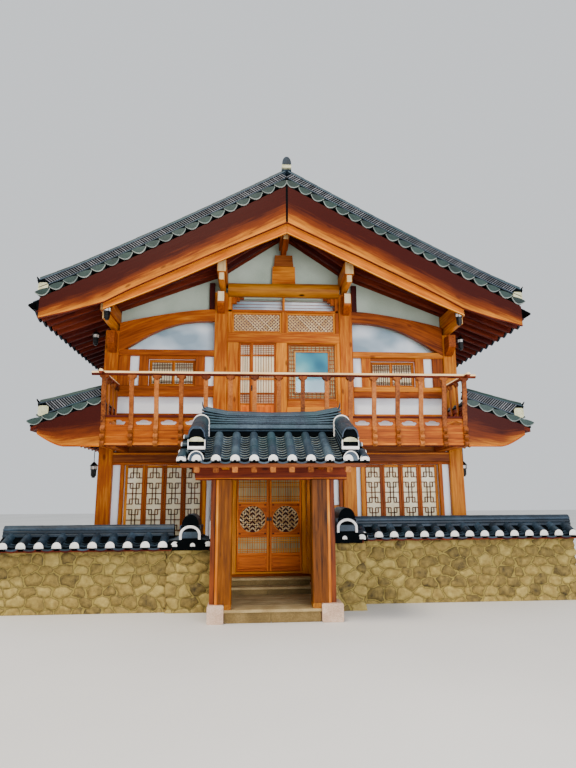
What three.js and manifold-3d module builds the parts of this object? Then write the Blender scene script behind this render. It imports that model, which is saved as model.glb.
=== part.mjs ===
// Two-storey hanok house with a tiled gate in front and a stone yard wall on each side.
// Units are millimetres. X runs to the right, Y runs into the house, Z is up.
// Z = 0 is the ground and the origin lies in the middle of the house plan.

import * as THREE from 'three';
import { mergeVertices } from 'three/addons/utils/BufferGeometryUtils.js';
import Module from 'manifold-3d';

const wasm = await Module();
wasm.setup();

// Driving dimensions of the house plan
const HALF_WIDTH = 3735;
const HALF_DEPTH = 3600;
const POST = 280;
const RAIL_SETBACK = 20;
const WALL_FACE = 120;
const WALL_THICK = 160;
const CENTRE_POST_IN = 1200;
const CENTRE_POST_OUT = 1480;

// Levels
const PLINTH_TOP = 300;
const PLINTH_LEDGE = 215;
const SILL_TOP = 460;
const HEAD_BOTTOM = 2650;
const HEAD_TOP = 2860;
const UPPER_FLOOR = 3150;

// Main roof: profile from the ridge outwards, and its layers
const ROOF_HALF = 4950;
const VERGE = 4700;
const TILE_THICK = 120;
const PAN_THICK = 45;
const VERGE_FOOT = 25;
const COVER_PITCH = 314;
const COVER_ROWS = 29;
// Half sections of a row of cover tiles: half width and height over the boarding
const COVER_HALF = [[80, 20], [80, 60], [48, 116]];
const WING_COVER_HALF = [[76, 20], [76, 55], [46, 110]];
const GATE_COVER_HALF = [[68, -5], [68, 55], [42, 112]];
const EAVE_DROP = 105;
const RAFTER_DEEP = 120;
const RAFTER_WIDE = 90;
const RAFTER_PITCH = 309.1;
const PURLIN_HALF = 95;
const PURLIN_DEEP = 250;
const BEARER_HALF = 55;
const BEARER_DEEP = 160;
const MID_PURLIN_X = 1310;
const EAVE_PURLIN_X = 3560;
const PURLIN_END = 4360;
const EAVE_PURLIN_END = 4430;

// Balcony
const BALCONY_FRONT = -4640;
const BALCONY_HALF = 3440;
const RAIL_Z = 4225;
const BALUSTERS = 16;

// Gap left where a curved piece rests on another
const SEAT_GAP = 0.3;
const FRAME_FOOT = PLINTH_TOP + SEAT_GAP;

// Front door
const DOOR_LEFT = -970;
const DOOR_RIGHT = 350;
const DOOR_BOTTOM = 505;
const DOOR_TOP = 2380;
const DOOR_THICK = 45;
const DOOR_CLEAR = 7;
const MEETING_HALF = 5;
const PIVOT_INSET = 10;
const PIVOT_RADIUS = 9;
const THRESHOLD_TOP = 499;
const DOOR_HEAD = 2390;

// Gate
const GATE_AXIS = -340;
const GATE_Y = -5500;
const GATE_HALF = 1490;
const GATE_EAVE = 950;
const GATE_BED = 30;
const GATE_DECK = 50;
const GATE_RAFTER = 80;
const GATE_COVER_PITCH = 290;
const GATE_COVER_ROWS = 9;
const LINTEL_BOTTOM = 2232;
const STEP_TOP = 200;
const STEP_LEFT = -1110;
const STEP_RIGHT = 455;
const STEP_EDGES = [-3800, -4010, -4250, -5660];
const MIDDLE_STEP = 325;
const TOP_STEP = 455;
const GATE_STONE_TOP = 280;

// Yard walls
const LEFT_WALL_TOP = 1040;
const RIGHT_WALL_TOP = 1140;

const FINISHES = {
  wood: { color: '#b4662d', roughness: 0.62, metalness: 0 },
  darkWood: { color: '#7a3f22', roughness: 0.7, metalness: 0 },
  tile: { color: '#3c484f', roughness: 0.55, metalness: 0 },
  plaster: { color: '#dfe6ea', roughness: 0.85, metalness: 0 },
  fieldstone: { color: '#9d9268', roughness: 0.9, metalness: 0 },
  granite: { color: '#a99c90', roughness: 0.88, metalness: 0 },
  glass: { color: '#8fa6ad', roughness: 0.08, metalness: 0 },
  paper: { color: '#e9dfc3', roughness: 0.8, metalness: 0 },
  iron: { color: '#17181a', roughness: 0.5, metalness: 0.8 },
};

const house = new THREE.Group();
house.name = 'hanok_house';

function add(name, geometry, finish) {
  const mesh = new THREE.Mesh(geometry, new THREE.MeshStandardMaterial(FINISHES[finish]));
  mesh.name = name;
  house.add(mesh);
  return mesh;
}

// Solid helpers

function box(x0, x1, y0, y1, z0, z1) {
  const geometry = new THREE.BoxGeometry(x1 - x0, y1 - y0, z1 - z0);
  geometry.translate((x0 + x1) / 2, (y0 + y1) / 2, (z0 + z1) / 2);
  return geometry;
}

function outline(points, holes) {
  const shape = new THREE.Shape(points.map(([a, b]) => new THREE.Vector2(a, b)));
  for (const hole of holes) {
    shape.holes.push(new THREE.Path(hole.map(([a, b]) => new THREE.Vector2(a, b))));
  }
  return shape;
}

function prism(points, depth, holes) {
  return new THREE.ExtrudeGeometry(outline(points, holes), {
    depth,
    bevelEnabled: false,
    curveSegments: 1,
  });
}

// Outline in X and Z, thick along Y
function plateY(points, y0, y1, holes = []) {
  const geometry = prism(points, y1 - y0, holes);
  geometry.rotateX(Math.PI / 2);
  geometry.translate(0, y1, 0);
  return geometry;
}

// Outline in Y and Z, thick along X
function plateX(points, x0, x1, holes = []) {
  const geometry = prism(points, x1 - x0, holes);
  const basis = new THREE.Matrix4().makeBasis(
    new THREE.Vector3(0, 1, 0),
    new THREE.Vector3(0, 0, 1),
    new THREE.Vector3(1, 0, 0),
  );
  geometry.applyMatrix4(basis);
  geometry.translate(x0, 0, 0);
  return geometry;
}

function rodY(x, z, y0, y1, radius, sides = 12) {
  const geometry = new THREE.CylinderGeometry(radius, radius, y1 - y0, sides);
  geometry.translate(x, (y0 + y1) / 2, 0);
  geometry.applyMatrix4(new THREE.Matrix4().makeTranslation(0, 0, z));
  return geometry;
}

function rodX(x0, x1, y, z, radius, sides = 12) {
  const geometry = new THREE.CylinderGeometry(radius, radius, x1 - x0, sides);
  geometry.rotateZ(Math.PI / 2);
  geometry.translate((x0 + x1) / 2, y, z);
  return geometry;
}

function rodZ(x, y, z0, z1, radius, sides = 12) {
  const geometry = new THREE.CylinderGeometry(radius, radius, z1 - z0, sides);
  geometry.rotateX(Math.PI / 2);
  geometry.translate(x, y, (z0 + z1) / 2);
  return geometry;
}

function rect(a0, a1, b0, b1) {
  return [[a0, b0], [a1, b0], [a1, b1], [a0, b1]];
}

function toSolid(geometry) {
  const bare = geometry.clone();
  bare.deleteAttribute('normal');
  bare.deleteAttribute('uv');
  const merged = mergeVertices(bare, 1e-3);
  return new wasm.Manifold(new wasm.Mesh({
    numProp: 3,
    vertProperties: new Float32Array(merged.attributes.position.array),
    triVerts: new Uint32Array(merged.index.array),
  }));
}

function toGeometry(solid) {
  const mesh = solid.getMesh();
  const geometry = new THREE.BufferGeometry();
  geometry.setAttribute('position', new THREE.BufferAttribute(new Float32Array(mesh.vertProperties), 3));
  geometry.setIndex(new THREE.BufferAttribute(new Uint32Array(mesh.triVerts), 1));
  geometry.computeVertexNormals();
  return geometry;
}

function fuse(pieces) {
  let solid = toSolid(pieces[0]);
  for (const piece of pieces.slice(1)) {
    solid = solid.add(toSolid(piece));
  }
  return toGeometry(solid);
}

function cut(base, tools) {
  let solid = toSolid(base);
  for (const tool of tools) {
    solid = solid.subtract(toSolid(tool));
  }
  return toGeometry(solid);
}

// A section carried along a path in one upright plane. The path is [distance, height] rows and
// place(distance, height, u, v) puts a point of the section there.
function carry(path, section, place) {
  const positions = [];
  for (const [a, z] of path) {
    for (const [u, v] of section) {
      positions.push(...place(a, z, u, v));
    }
  }
  const n = section.length;
  const index = [];
  for (let i = 0; i < path.length - 1; i += 1) {
    for (let j = 0; j < n; j += 1) {
      const a = i * n + j;
      const b = i * n + ((j + 1) % n);
      index.push(a, a + n, b + n, a, b + n, b);
    }
  }
  const last = (path.length - 1) * n;
  for (let j = 1; j < n - 1; j += 1) {
    index.push(0, j, j + 1, last, last + j + 1, last + j);
  }
  const geometry = new THREE.BufferGeometry();
  geometry.setAttribute('position', new THREE.Float32BufferAttribute(positions, 3));
  geometry.setIndex(index);
  return geometry;
}

function mirrored(points) {
  return points.map(([a, b]) => [-a, b]).reverse();
}

function sided(points, side) {
  return side < 0 ? mirrored(points) : points;
}

// Value at a of a table of [a, value] rows, straight between the rows
function fromTable(table, a) {
  const last = table.length - 1;
  if (a <= table[0][0]) {
    return table[0][1];
  }
  for (let i = 0; i < last; i += 1) {
    const [a0, v0] = table[i];
    const [a1, v1] = table[i + 1];
    if (a <= a1) {
      return v0 + ((v1 - v0) * (a - a0)) / (a1 - a0);
    }
  }
  return table[last][1];
}

// Top of the roof boarding at x: it falls from the ridge and eases towards the eave
const ROOF_STATIONS = [0, 170, 900, 1700, 2500, 3300, 4150, ROOF_HALF];
const ROOF_LINE = ROOF_STATIONS.map((x) => [x, 8200 - 0.57 * x + 8e-6 * x * x]);

function roofLine(x) {
  return fromTable(ROOF_LINE, Math.abs(x));
}

// Strip between two offsets from the roof line, from x0 to x1
function roofStrip(x0, x1, low, high) {
  const inner = ROOF_STATIONS.filter((x) => x > x0 + 1 && x < x1 - 1);
  const xs = [x0, ...inner, x1];
  const bottom = xs.map((x) => [x, roofLine(x) + low(x)]);
  const top = xs.map((x) => [x, roofLine(x) + high(x)]).reverse();
  return [...bottom, ...top];
}

function constant(value) {
  return () => value;
}

// Underside of the rafters: steep above the mid purlin, flatter from there to the eave.
// Boards and clay fill the space between the rafters and the bed of the tiles.
const RAFTER_END = 4780;
const RAFTER_LINE = [[0, 7600], [MID_PURLIN_X, 6697], [RAFTER_END, 5326], [ROOF_HALF, 5259]];

function rafterUnderside(x) {
  return fromTable(RAFTER_LINE, Math.abs(x));
}

// Each purlin is a squared timber on a narrower bearer; these are the tops of the purlins
const PURLIN_BITE = 10;
const MID_PURLIN_TOP = rafterUnderside(MID_PURLIN_X) - PURLIN_BITE;
const EAVE_PURLIN_TOP = rafterUnderside(EAVE_PURLIN_X) - PURLIN_BITE;
const MID_BEARER_LOW = MID_PURLIN_TOP - PURLIN_DEEP - BEARER_DEEP;
const EAVE_BEARER_LOW = EAVE_PURLIN_TOP - PURLIN_DEEP - BEARER_DEEP;
const RIDGE_PURLIN_LOW = 7335;
const RIDGE_BEARER_LOW = RIDGE_PURLIN_LOW - BEARER_DEEP;

// Base

function buildBase() {
  const plinthX = HALF_WIDTH + PLINTH_LEDGE;
  const plinthY = HALF_DEPTH + PLINTH_LEDGE - 15;
  add('plinth', box(-plinthX, plinthX, -plinthY, plinthY, 0, PLINTH_TOP), 'granite');
  const floorX = HALF_WIDTH - POST;
  const floorY = HALF_DEPTH - POST;
  add('ground_floor', box(-floorX, floorX, -floorY, floorY, PLINTH_TOP, SILL_TOP), 'wood');
  const [back, top, middle, front] = STEP_EDGES;
  const flight = [
    [front, 0], [back, 0], [back, TOP_STEP], [top, TOP_STEP],
    [top, MIDDLE_STEP], [middle, MIDDLE_STEP], [middle, STEP_TOP], [front, STEP_TOP],
  ];
  add('door_steps', plateX(flight, STEP_LEFT, STEP_RIGHT), 'granite');
}

// Timber frames

function railsX(x0, x1, levels, y0, y1) {
  return levels.map(([z0, z1]) => box(x0, x1, y0, y1, z0, z1));
}

function cornerPosts(outer, inner) {
  const y0 = Math.min(outer, inner);
  const y1 = Math.max(outer, inner);
  return [-1, 1].map((side) => {
    const a = side * HALF_WIDTH;
    const b = side * (HALF_WIDTH - POST);
    return box(Math.min(a, b), Math.max(a, b), y0, y1, FRAME_FOOT, POST_TOP);
  });
}

function centrePosts(y0, y1, z0, z1) {
  return [
    box(-CENTRE_POST_OUT, -CENTRE_POST_IN, y0, y1, z0, z1),
    box(CENTRE_POST_IN, CENTRE_POST_OUT, y0, y1, z0, z1),
  ];
}

const POST_TOP = EAVE_BEARER_LOW - SEAT_GAP;
const CENTRE_POST_TOP = MID_BEARER_LOW - SEAT_GAP;
const FRAME_FRONT = -HALF_DEPTH;
const FRAME_BACK = -HALF_DEPTH + WALL_FACE;
const SILL_LEVEL = [FRAME_FOOT, SILL_TOP];
const HEAD_LEVEL = [HEAD_BOTTOM, HEAD_TOP];
const UPPER_RAILS = [[UPPER_FLOOR, 3260], [4000, 4130], [4870, 5000]];

function buildLowerFrontFrame() {
  const inside = HALF_WIDTH - POST + 10;
  const face = FRAME_FRONT + RAIL_SETBACK;
  const pieces = [
    ...cornerPosts(FRAME_FRONT, FRAME_FRONT + POST),
    bracketArm(-CORNER_ARM_X, ARM_HALF, CORNER_ARM_TOP),
    bracketArm(CORNER_ARM_X, ARM_HALF, CORNER_ARM_TOP),
    ...centrePosts(FRAME_FRONT, FRAME_BACK, FRAME_FOOT, HEAD_TOP),
    ...railsX(-inside, inside, [SILL_LEVEL, HEAD_LEVEL], face, FRAME_BACK),
  ];
  add('lower_frame_front', fuse(pieces), 'wood');
}

// Length that one timber is let into another
const LAP = 10;

// Arms under the bearers at the front posts
const ARM_REACH = 300;
const ARM_HALF = 75;
const CENTRE_ARM_TOP = 6200;
const CORNER_ARM_TOP = 5310;
const CORNER_ARM_X = 3560;

// Middle bay of the upper front: doors on the left, a large window on the right, a transom of
// lattice panels over both, and an arched light at the top
const UPPER_BAY = {
  sillTop: 3230,
  doorLeft: -960,
  doorRight: -170,
  doorTop: 5170,
  windowLeft: 60,
  windowRight: 1130,
  windowRail: 3650,
  windowBottom: 3790,
  headBottom: 5170,
  headTop: 5400,
  transomHalf: 1110,
  transomTop: 5850,
  mullionHalf: 50,
  archBottom: 5910,
  archTop: 6190,
};

const ARCH_LOW = [
  [1480, 5640], [1800, 5625], [2200, 5560], [2640, 5410], [2950, 5250], [3220, 5060], [3455, 4930],
];
const ARCH_HIGH = [[1480, 5895], [2110, 5835], [2690, 5735], [3100, 5650], [3455, 5560]];

function archBeam(side) {
  const lapped = (rows) => rows.map(([x, z], i) => [i === 0 ? x - LAP : x, z]);
  const points = [...lapped(ARCH_LOW), ...lapped(ARCH_HIGH).reverse()];
  return plateY(sided(points, side), FRAME_FRONT, FRAME_BACK);
}

// A timber of the middle bay: full depth between the posts, and let into their sides in front
function bayTimber([x0, x1, z0, z1]) {
  const face = FRAME_FRONT + RAIL_SETBACK;
  const reach = (x) => (Math.abs(x) === CENTRE_POST_IN ? x + Math.sign(x) * LAP : x);
  return [
    box(x0, x1, face, FRAME_FRONT + POST, z0, z1),
    box(reach(x0), reach(x1), face, FRAME_BACK, z0, z1),
  ];
}

// Arm that runs forward from a post under the bearer, rounded below
function bracketArm(x, half, top) {
  const tip = FRAME_FRONT - ARM_REACH;
  const side = [
    [FRAME_FRONT + LAP, top], [tip, top], [tip, top - 230], [tip + 60, top - 290],
    [tip + 150, top - 350], [FRAME_FRONT + LAP, top - 400],
  ];
  return plateX(side, x - half, x + half);
}

function buildUpperFrontFrame() {
  const face = FRAME_FRONT + RAIL_SETBACK;
  const inside = HALF_WIDTH - POST;
  const inner = CENTRE_POST_IN;
  const bay = UPPER_BAY;
  const timbers = [
    [-inner, bay.windowLeft, UPPER_FLOOR, bay.sillTop],
    [-inner, bay.doorLeft, UPPER_FLOOR, bay.headTop],
    [bay.doorRight, bay.windowLeft, UPPER_FLOOR, bay.headTop],
    [bay.windowRight, inner, bay.windowRail, bay.headTop],
    [bay.windowLeft - LAP, bay.windowRight + LAP, bay.windowRail, bay.windowBottom],
    [-inner, inner, bay.headBottom, bay.headTop],
    [-inner, inner, bay.transomTop, bay.archBottom],
    [-inner, -bay.transomHalf, bay.headTop - LAP, bay.archTop],
    [bay.transomHalf, inner, bay.headTop - LAP, bay.archTop],
    [-bay.mullionHalf, bay.mullionHalf, bay.headTop - LAP, bay.archTop],
  ];
  const middle = (CENTRE_POST_IN + CENTRE_POST_OUT) / 2;
  const pieces = [
    ...centrePosts(FRAME_FRONT, FRAME_BACK, UPPER_FLOOR, CENTRE_POST_TOP),
    ...railsX(-inside, -inner - LAP, UPPER_RAILS, face, FRAME_BACK),
    ...railsX(inner + LAP, inside, UPPER_RAILS, face, FRAME_BACK),
    archBeam(-1),
    archBeam(1),
    ...timbers.flatMap(bayTimber),
    box(bay.windowLeft - LAP, inner + LAP, face, FRAME_BACK, UPPER_FLOOR, bay.sillTop),
    box(bay.windowRight, inner + LAP, face, FRAME_BACK, UPPER_FLOOR, bay.headTop),
    bracketArm(-middle, ARM_HALF, CENTRE_ARM_TOP),
    bracketArm(middle, ARM_HALF, CENTRE_ARM_TOP),
  ];
  add('upper_frame_front', fuse(pieces), 'wood');
}

function buildBackFrame() {
  const inside = HALF_WIDTH - POST + 10;
  const face = HALF_DEPTH - RAIL_SETBACK;
  const wallFace = HALF_DEPTH - WALL_FACE;
  const levels = [SILL_LEVEL, HEAD_LEVEL, ...UPPER_RAILS, [POST_TOP - 200, POST_TOP]];
  const pieces = [
    ...cornerPosts(HALF_DEPTH - POST, HALF_DEPTH),
    ...centrePosts(wallFace, HALF_DEPTH, FRAME_FOOT, CENTRE_POST_TOP),
    ...railsX(-inside, inside, levels, wallFace, face),
  ];
  add('back_frame', fuse(pieces), 'wood');
}

const SIDE_POST_Y = 1200;

function buildSideFrame(name, side) {
  const outer = side * HALF_WIDTH;
  const face = side * (HALF_WIDTH - RAIL_SETBACK);
  const wall = side * (HALF_WIDTH - WALL_FACE);
  const inside = HALF_DEPTH - POST;
  const levels = [SILL_LEVEL, HEAD_LEVEL, ...UPPER_RAILS];
  const post = (y) => box(
    Math.min(outer, wall), Math.max(outer, wall), y - POST / 2, y + POST / 2, FRAME_FOOT, POST_TOP,
  );
  const rails = levels.map(([z0, z1]) => box(
    Math.min(face, wall), Math.max(face, wall), -inside, inside, z0, z1,
  ));
  add(name, fuse([post(-SIDE_POST_Y), post(SIDE_POST_Y), ...rails]), 'wood');
}

// Walls

const WINDOW_PLATE = [-3440, -3400];
const FRONT_WALL_TOP = 5000;
const LATTICE = { x0: 1660, x1: 3220, z0: 950, z1: 2600 };
const UPPER_WINDOW = { x0: 1870, x1: 2830, z0: 4240, z1: 4800 };

function buildFrontWall(name, side) {
  const y0 = FRAME_BACK;
  const y1 = FRAME_BACK + WALL_THICK;
  const slab = (a, b, z0, z1, grow) => plateY(
    sided(rect(a, b, z0, z1), side), y0 - grow, y1 + grow,
  );
  const wall = slab(CENTRE_POST_IN, HALF_WIDTH - POST, SILL_TOP, FRONT_WALL_TOP, 0);
  const holes = [
    slab(LATTICE.x0, LATTICE.x1, LATTICE.z0, LATTICE.z1, 10),
    slab(UPPER_WINDOW.x0, UPPER_WINDOW.x1, UPPER_WINDOW.z0, UPPER_WINDOW.z1, 10),
  ];
  add(name, cut(wall, holes), 'plaster');
}

function windowPlate(name, window, side, finish) {
  const points = rect(window.x0, window.x1, window.z0, window.z1);
  add(name, plateY(sided(points, side), WINDOW_PLATE[0], WINDOW_PLATE[1]), finish);
}

// Top edge of a gable wall: it follows the rafters and is notched round the purlins and bearers
function gableTop(gap) {
  const drop = (x) => rafterUnderside(x) - gap;
  const wide = PURLIN_HALF + gap;
  const narrow = BEARER_HALF + gap;
  const midPurlinLow = MID_PURLIN_TOP - PURLIN_DEEP - gap;
  const midLow = MID_BEARER_LOW - gap;
  const ridgeLow = RIDGE_BEARER_LOW - gap;
  const notch = (x) => [x, drop(x)];
  const right = [
    notch(HALF_WIDTH - POST),
    notch(MID_PURLIN_X + wide),
    [MID_PURLIN_X + wide, midPurlinLow],
    [MID_PURLIN_X + narrow, midPurlinLow],
    [MID_PURLIN_X + narrow, midLow],
    [MID_PURLIN_X - narrow, midLow],
    [MID_PURLIN_X - narrow, midPurlinLow],
    [MID_PURLIN_X - wide, midPurlinLow],
    notch(MID_PURLIN_X - wide),
    notch(wide),
    [wide, RIDGE_PURLIN_LOW - gap],
    [narrow, RIDGE_PURLIN_LOW - gap],
    [narrow, ridgeLow],
  ];
  return [...right, ...mirrored(right)];
}

// The plaster starts behind the arched beams, this far above their lower edge
const ARCH_COVER = 60;

function buildGableFront() {
  const bays = ARCH_LOW.map(([x, z]) => [x, Math.max(z + ARCH_COVER, FRONT_WALL_TOP)]);
  bays[bays.length - 1][1] = FRONT_WALL_TOP;
  const rightBottom = [
    [CENTRE_POST_IN, UPPER_BAY.archTop], [CENTRE_POST_IN, ARCH_LOW[0][1] + ARCH_COVER], ...bays,
  ];
  const points = [...mirrored(rightBottom), ...rightBottom, ...gableTop(5)];
  add('gable_front', plateY(points, FRAME_BACK, FRAME_BACK + WALL_THICK), 'plaster');
}

const DOOR_FRAME_RIGHT = 450;
const DOOR_FRAME_TOP = 2500;

function buildDoorBay() {
  const y0 = FRAME_BACK;
  const y1 = FRAME_BACK + WALL_THICK;
  const left = -CENTRE_POST_IN;
  const right = CENTRE_POST_IN;
  const over = [
    [left, DOOR_FRAME_TOP], [right, DOOR_FRAME_TOP], [right, UPPER_BAY.windowRail],
    [UPPER_BAY.windowLeft, UPPER_BAY.windowRail], [UPPER_BAY.windowLeft, UPPER_FLOOR],
    [left, UPPER_FLOOR],
  ];
  add('front_wall_over_door', plateY(over, y0, y1), 'plaster');
  const beside = box(DOOR_FRAME_RIGHT, right, y0, y1, SILL_TOP, DOOR_FRAME_TOP);
  add('front_wall_beside_door', beside, 'plaster');
  const frame = box(left, DOOR_FRAME_RIGHT, y0, y1, SILL_TOP, DOOR_FRAME_TOP);
  const doorway = box(DOOR_LEFT, DOOR_RIGHT, y0 - 10, y1 + 10, THRESHOLD_TOP, DOOR_HEAD);
  add('door_frame', cut(frame, [doorway]), 'wood');
}

// Each leaf turns on a round pivot pin at the inner edge of its hanging stile
function doorLeaf(x0, x1, pivotX) {
  const y0 = FRAME_BACK + 20;
  const y1 = y0 + DOOR_THICK;
  return fuse([
    box(x0, x1, y0, y1, DOOR_BOTTOM, DOOR_TOP),
    rodZ(pivotX, y1, THRESHOLD_TOP + SEAT_GAP, DOOR_HEAD - SEAT_GAP, PIVOT_RADIUS, 16),
  ]);
}

function buildDoors() {
  const middle = (DOOR_LEFT + DOOR_RIGHT) / 2;
  const leftEdge = DOOR_LEFT + DOOR_CLEAR;
  const rightEdge = DOOR_RIGHT - DOOR_CLEAR;
  const left = doorLeaf(leftEdge, middle - MEETING_HALF, leftEdge + PIVOT_INSET);
  const right = doorLeaf(middle + MEETING_HALF, rightEdge, rightEdge - PIVOT_INSET);
  add('front_door_left', left, 'wood');
  add('front_door_right', right, 'wood');
}

const SIDE_WINDOWS = [-2260, 0, 2260];
const BACK_WINDOWS = [-2340, 0, 2340];
const WINDOW_HALF = 480;
const LOWER_WINDOW = { z0: 1150, z1: 2350 };

// Sheets behind the windows of a wall reach this far past the openings
const SHEET_THICK = 12;
const SHEET_MARGIN = 50;

function buildSideWall(name, side) {
  const inside = HALF_DEPTH - POST;
  const a = side * (HALF_WIDTH - WALL_FACE);
  const b = side * (HALF_WIDTH - WALL_FACE - WALL_THICK);
  const x0 = Math.min(a, b);
  const x1 = Math.max(a, b);
  const holes = SIDE_WINDOWS.map((y) => box(
    x0 - 10, x1 + 10, y - WINDOW_HALF, y + WINDOW_HALF, UPPER_WINDOW.z0, UPPER_WINDOW.z1,
  ));
  add(name, cut(box(x0, x1, -inside, inside, SILL_TOP, POST_TOP), holes), 'plaster');
  const glass = b - side * SHEET_THICK;
  const reach = SIDE_WINDOWS[2] + WINDOW_HALF + SHEET_MARGIN;
  const sheet = box(
    Math.min(b, glass), Math.max(b, glass), -reach, reach,
    UPPER_WINDOW.z0 - SHEET_MARGIN, UPPER_WINDOW.z1 + SHEET_MARGIN,
  );
  add(`${name.replace('_wall', '')}_window_sheet`, sheet, 'glass');
}

function buildBackWall() {
  const y1 = HALF_DEPTH - WALL_FACE;
  const y0 = y1 - WALL_THICK;
  const rows = [LOWER_WINDOW, UPPER_WINDOW];
  const holes = BACK_WINDOWS.flatMap((x) => rows.map(({ z0, z1 }) => box(
    x - WINDOW_HALF, x + WINDOW_HALF, y0 - 10, y1 + 10, z0, z1,
  )));
  const half = HALF_WIDTH - POST;
  const points = [[-half, SILL_TOP], [half, SILL_TOP], ...gableTop(5)];
  add('back_wall', cut(plateY(points, y0, y1), holes), 'plaster');
  const reach = BACK_WINDOWS[2] + WINDOW_HALF + SHEET_MARGIN;
  const sheet = ({ z0, z1 }) => box(
    -reach, reach, y0 - SHEET_THICK, y0, z0 - SHEET_MARGIN, z1 + SHEET_MARGIN,
  );
  add('back_window_sheet_lower', sheet(LOWER_WINDOW), 'paper');
  add('back_window_sheet_upper', sheet(UPPER_WINDOW), 'glass');
}

// One sheet behind the side arches, the transom, the top light and the large window
function buildUpperGlass() {
  const y0 = FRAME_BACK + WALL_THICK;
  const { windowLeft, windowRight, windowBottom, archTop } = UPPER_BAY;
  const low = FRONT_WALL_TOP + 10;
  const left = windowLeft - 20;
  const right = windowRight + 20;
  const points = [
    [-3400, low], [left, low], [left, windowBottom - 30], [right, windowBottom - 30],
    [right, low], [3400, low], [3400, 5700], [1180, archTop], [-1180, archTop], [-3400, 5700],
  ];
  add('upper_front_glass', plateY(points, y0, y0 + SHEET_THICK), 'glass');
}

function buildUpperDoors() {
  const { doorLeft, doorRight, sillTop, doorTop } = UPPER_BAY;
  const y0 = FRAME_FRONT + 40;
  add('balcony_doors', box(doorLeft, doorRight, y0, y0 + 50, sillTop, doorTop), 'wood');
}

const FLOOR_THICK = 100;

function buildUpperFloor() {
  const inside = HALF_DEPTH - POST;
  const x = HALF_WIDTH - WALL_FACE - WALL_THICK;
  const floor = box(-x, x, -inside, inside, UPPER_FLOOR - FLOOR_THICK, UPPER_FLOOR);
  add('upper_floor', floor, 'wood');
}

// Log over the arched light, with the king post that stands on it
const LOG = { y: -3560, z: 6355, radius: 160 };
const KING = { half: 255, foot: 6490, joint: 6920, neck: 215, head: 190 };

function buildGableBeam() {
  const log = rodX(-CENTRE_POST_IN, CENTRE_POST_IN, LOG.y, LOG.z, LOG.radius, 16);
  const behind = box(-1300, 1300, FRAME_BACK, FRAME_BACK + 480, 6000, 6700);
  const top = RIDGE_BEARER_LOW - SEAT_GAP;
  const right = [
    [KING.half, KING.foot], [KING.half, KING.joint - 5], [KING.neck, KING.joint + 5],
    [KING.head, top],
  ];
  const outlinePoints = [...mirrored(right), ...right];
  const king = plateY(outlinePoints, LOG.y - 30, FRAME_BACK);
  add('gable_beam_front', fuse([cut(log, [behind]), king]), 'wood');
}

// Main roof

const RAFTERS_PER_HALF = 14;
const VERGE_OVERHANG = 20;
const VERGE_WIDE = 280;
const VERGE_START = 170;

// Bargeboards: thickness of the upper board, and the back of the lower one from the verge
const BOARD_THICK = 45;
const BOARD_BACK = 80;

function rafterCentres() {
  const centres = [];
  for (let k = -RAFTERS_PER_HALF; k <= RAFTERS_PER_HALF; k += 1) {
    centres.push(k * RAFTER_PITCH);
  }
  return centres;
}

// Boards and clay between the backs of the rafters and the bed of the tiles
function fillStrip() {
  const end = ROOF_HALF - 60;
  const back = (x) => [x, rafterUnderside(x) + RAFTER_DEEP + SEAT_GAP];
  const top = [...ROOF_STATIONS.filter((x) => x < end), end].map((x) => [x, roofLine(x) + 10]);
  return [back(0), back(MID_PURLIN_X), back(RAFTER_END), back(end), ...top.reverse()];
}

// Full section of a row of cover tiles, turned so that its faces point outwards
function coverSection(right, turned) {
  const section = [...right, ...mirrored(right)];
  return turned ? section.reverse() : section;
}

function buildRoofSide(name, side) {
  const tiles = roofStrip(0, ROOF_HALF, constant(0), constant(PAN_THICK));
  const eave = roofStrip(ROOF_HALF - 60, ROOF_HALF, constant(-EAVE_DROP), constant(10));
  // The verge ridge is 435 mm over the bed and lifts by 60 mm at its tip
  const vergeHigh = (x) => 435 + 60 * Math.max(0, (x - 4150) / 800);
  const verge = roofStrip(VERGE_START, ROOF_HALF, constant(VERGE_FOOT), vergeHigh);
  const end = VERGE + VERGE_OVERHANG;
  const inner = VERGE - VERGE_WIDE - VERGE_OVERHANG;
  const body = VERGE - BOARD_BACK;
  const path = ROOF_LINE.map(([x, z]) => [side * x, z]);
  const rows = [];
  for (let k = 0; k < COVER_ROWS; k += 1) {
    const y = (k - (COVER_ROWS - 1) / 2) * COVER_PITCH;
    rows.push(carry(path, coverSection(COVER_HALF, side > 0), (x, z, u, v) => [x, y + u, z + v]));
  }
  // Under the ridge the tiles are bedded solid
  const seat = roofStrip(0, RIDGE.half, constant(0), constant(TILE_THICK));
  const pieces = [
    ...rows,
    plateY(sided(tiles, side), -end, end),
    plateY(sided(seat, side), -end, end),
    plateY(sided(eave, side), -body, body),
    plateY(sided(fillStrip(), side), -body + 2, body - 2),
    plateY(sided(verge, side), -end, -inner),
    plateY(sided(verge, side), inner, end),
  ];
  add(name, fuse(pieces), 'tile');
}

// A squared purlin and the narrower bearer under it
function purlin(x, top, end) {
  const low = top - PURLIN_DEEP;
  return [
    box(x - PURLIN_HALF, x + PURLIN_HALF, -end, end, low, top + PURLIN_BITE + 40),
    box(x - BEARER_HALF, x + BEARER_HALF, -end, end, low - BEARER_DEEP, low + LAP),
  ];
}

function buildRafters(name, side) {
  const xs = [0, MID_PURLIN_X, RAFTER_END];
  const strip = [
    ...xs.map((x) => [x, rafterUnderside(x)]),
    ...xs.map((x) => [x, rafterUnderside(x) + RAFTER_DEEP]).reverse(),
  ];
  const pieces = [];
  for (const y of rafterCentres()) {
    pieces.push(plateY(sided(strip, side), y - RAFTER_WIDE / 2, y + RAFTER_WIDE / 2));
  }
  pieces.push(...purlin(side * MID_PURLIN_X, MID_PURLIN_TOP, PURLIN_END));
  pieces.push(...purlin(side * EAVE_PURLIN_X, EAVE_PURLIN_TOP, EAVE_PURLIN_END));
  add(name, fuse(pieces), 'darkWood');
}

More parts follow.
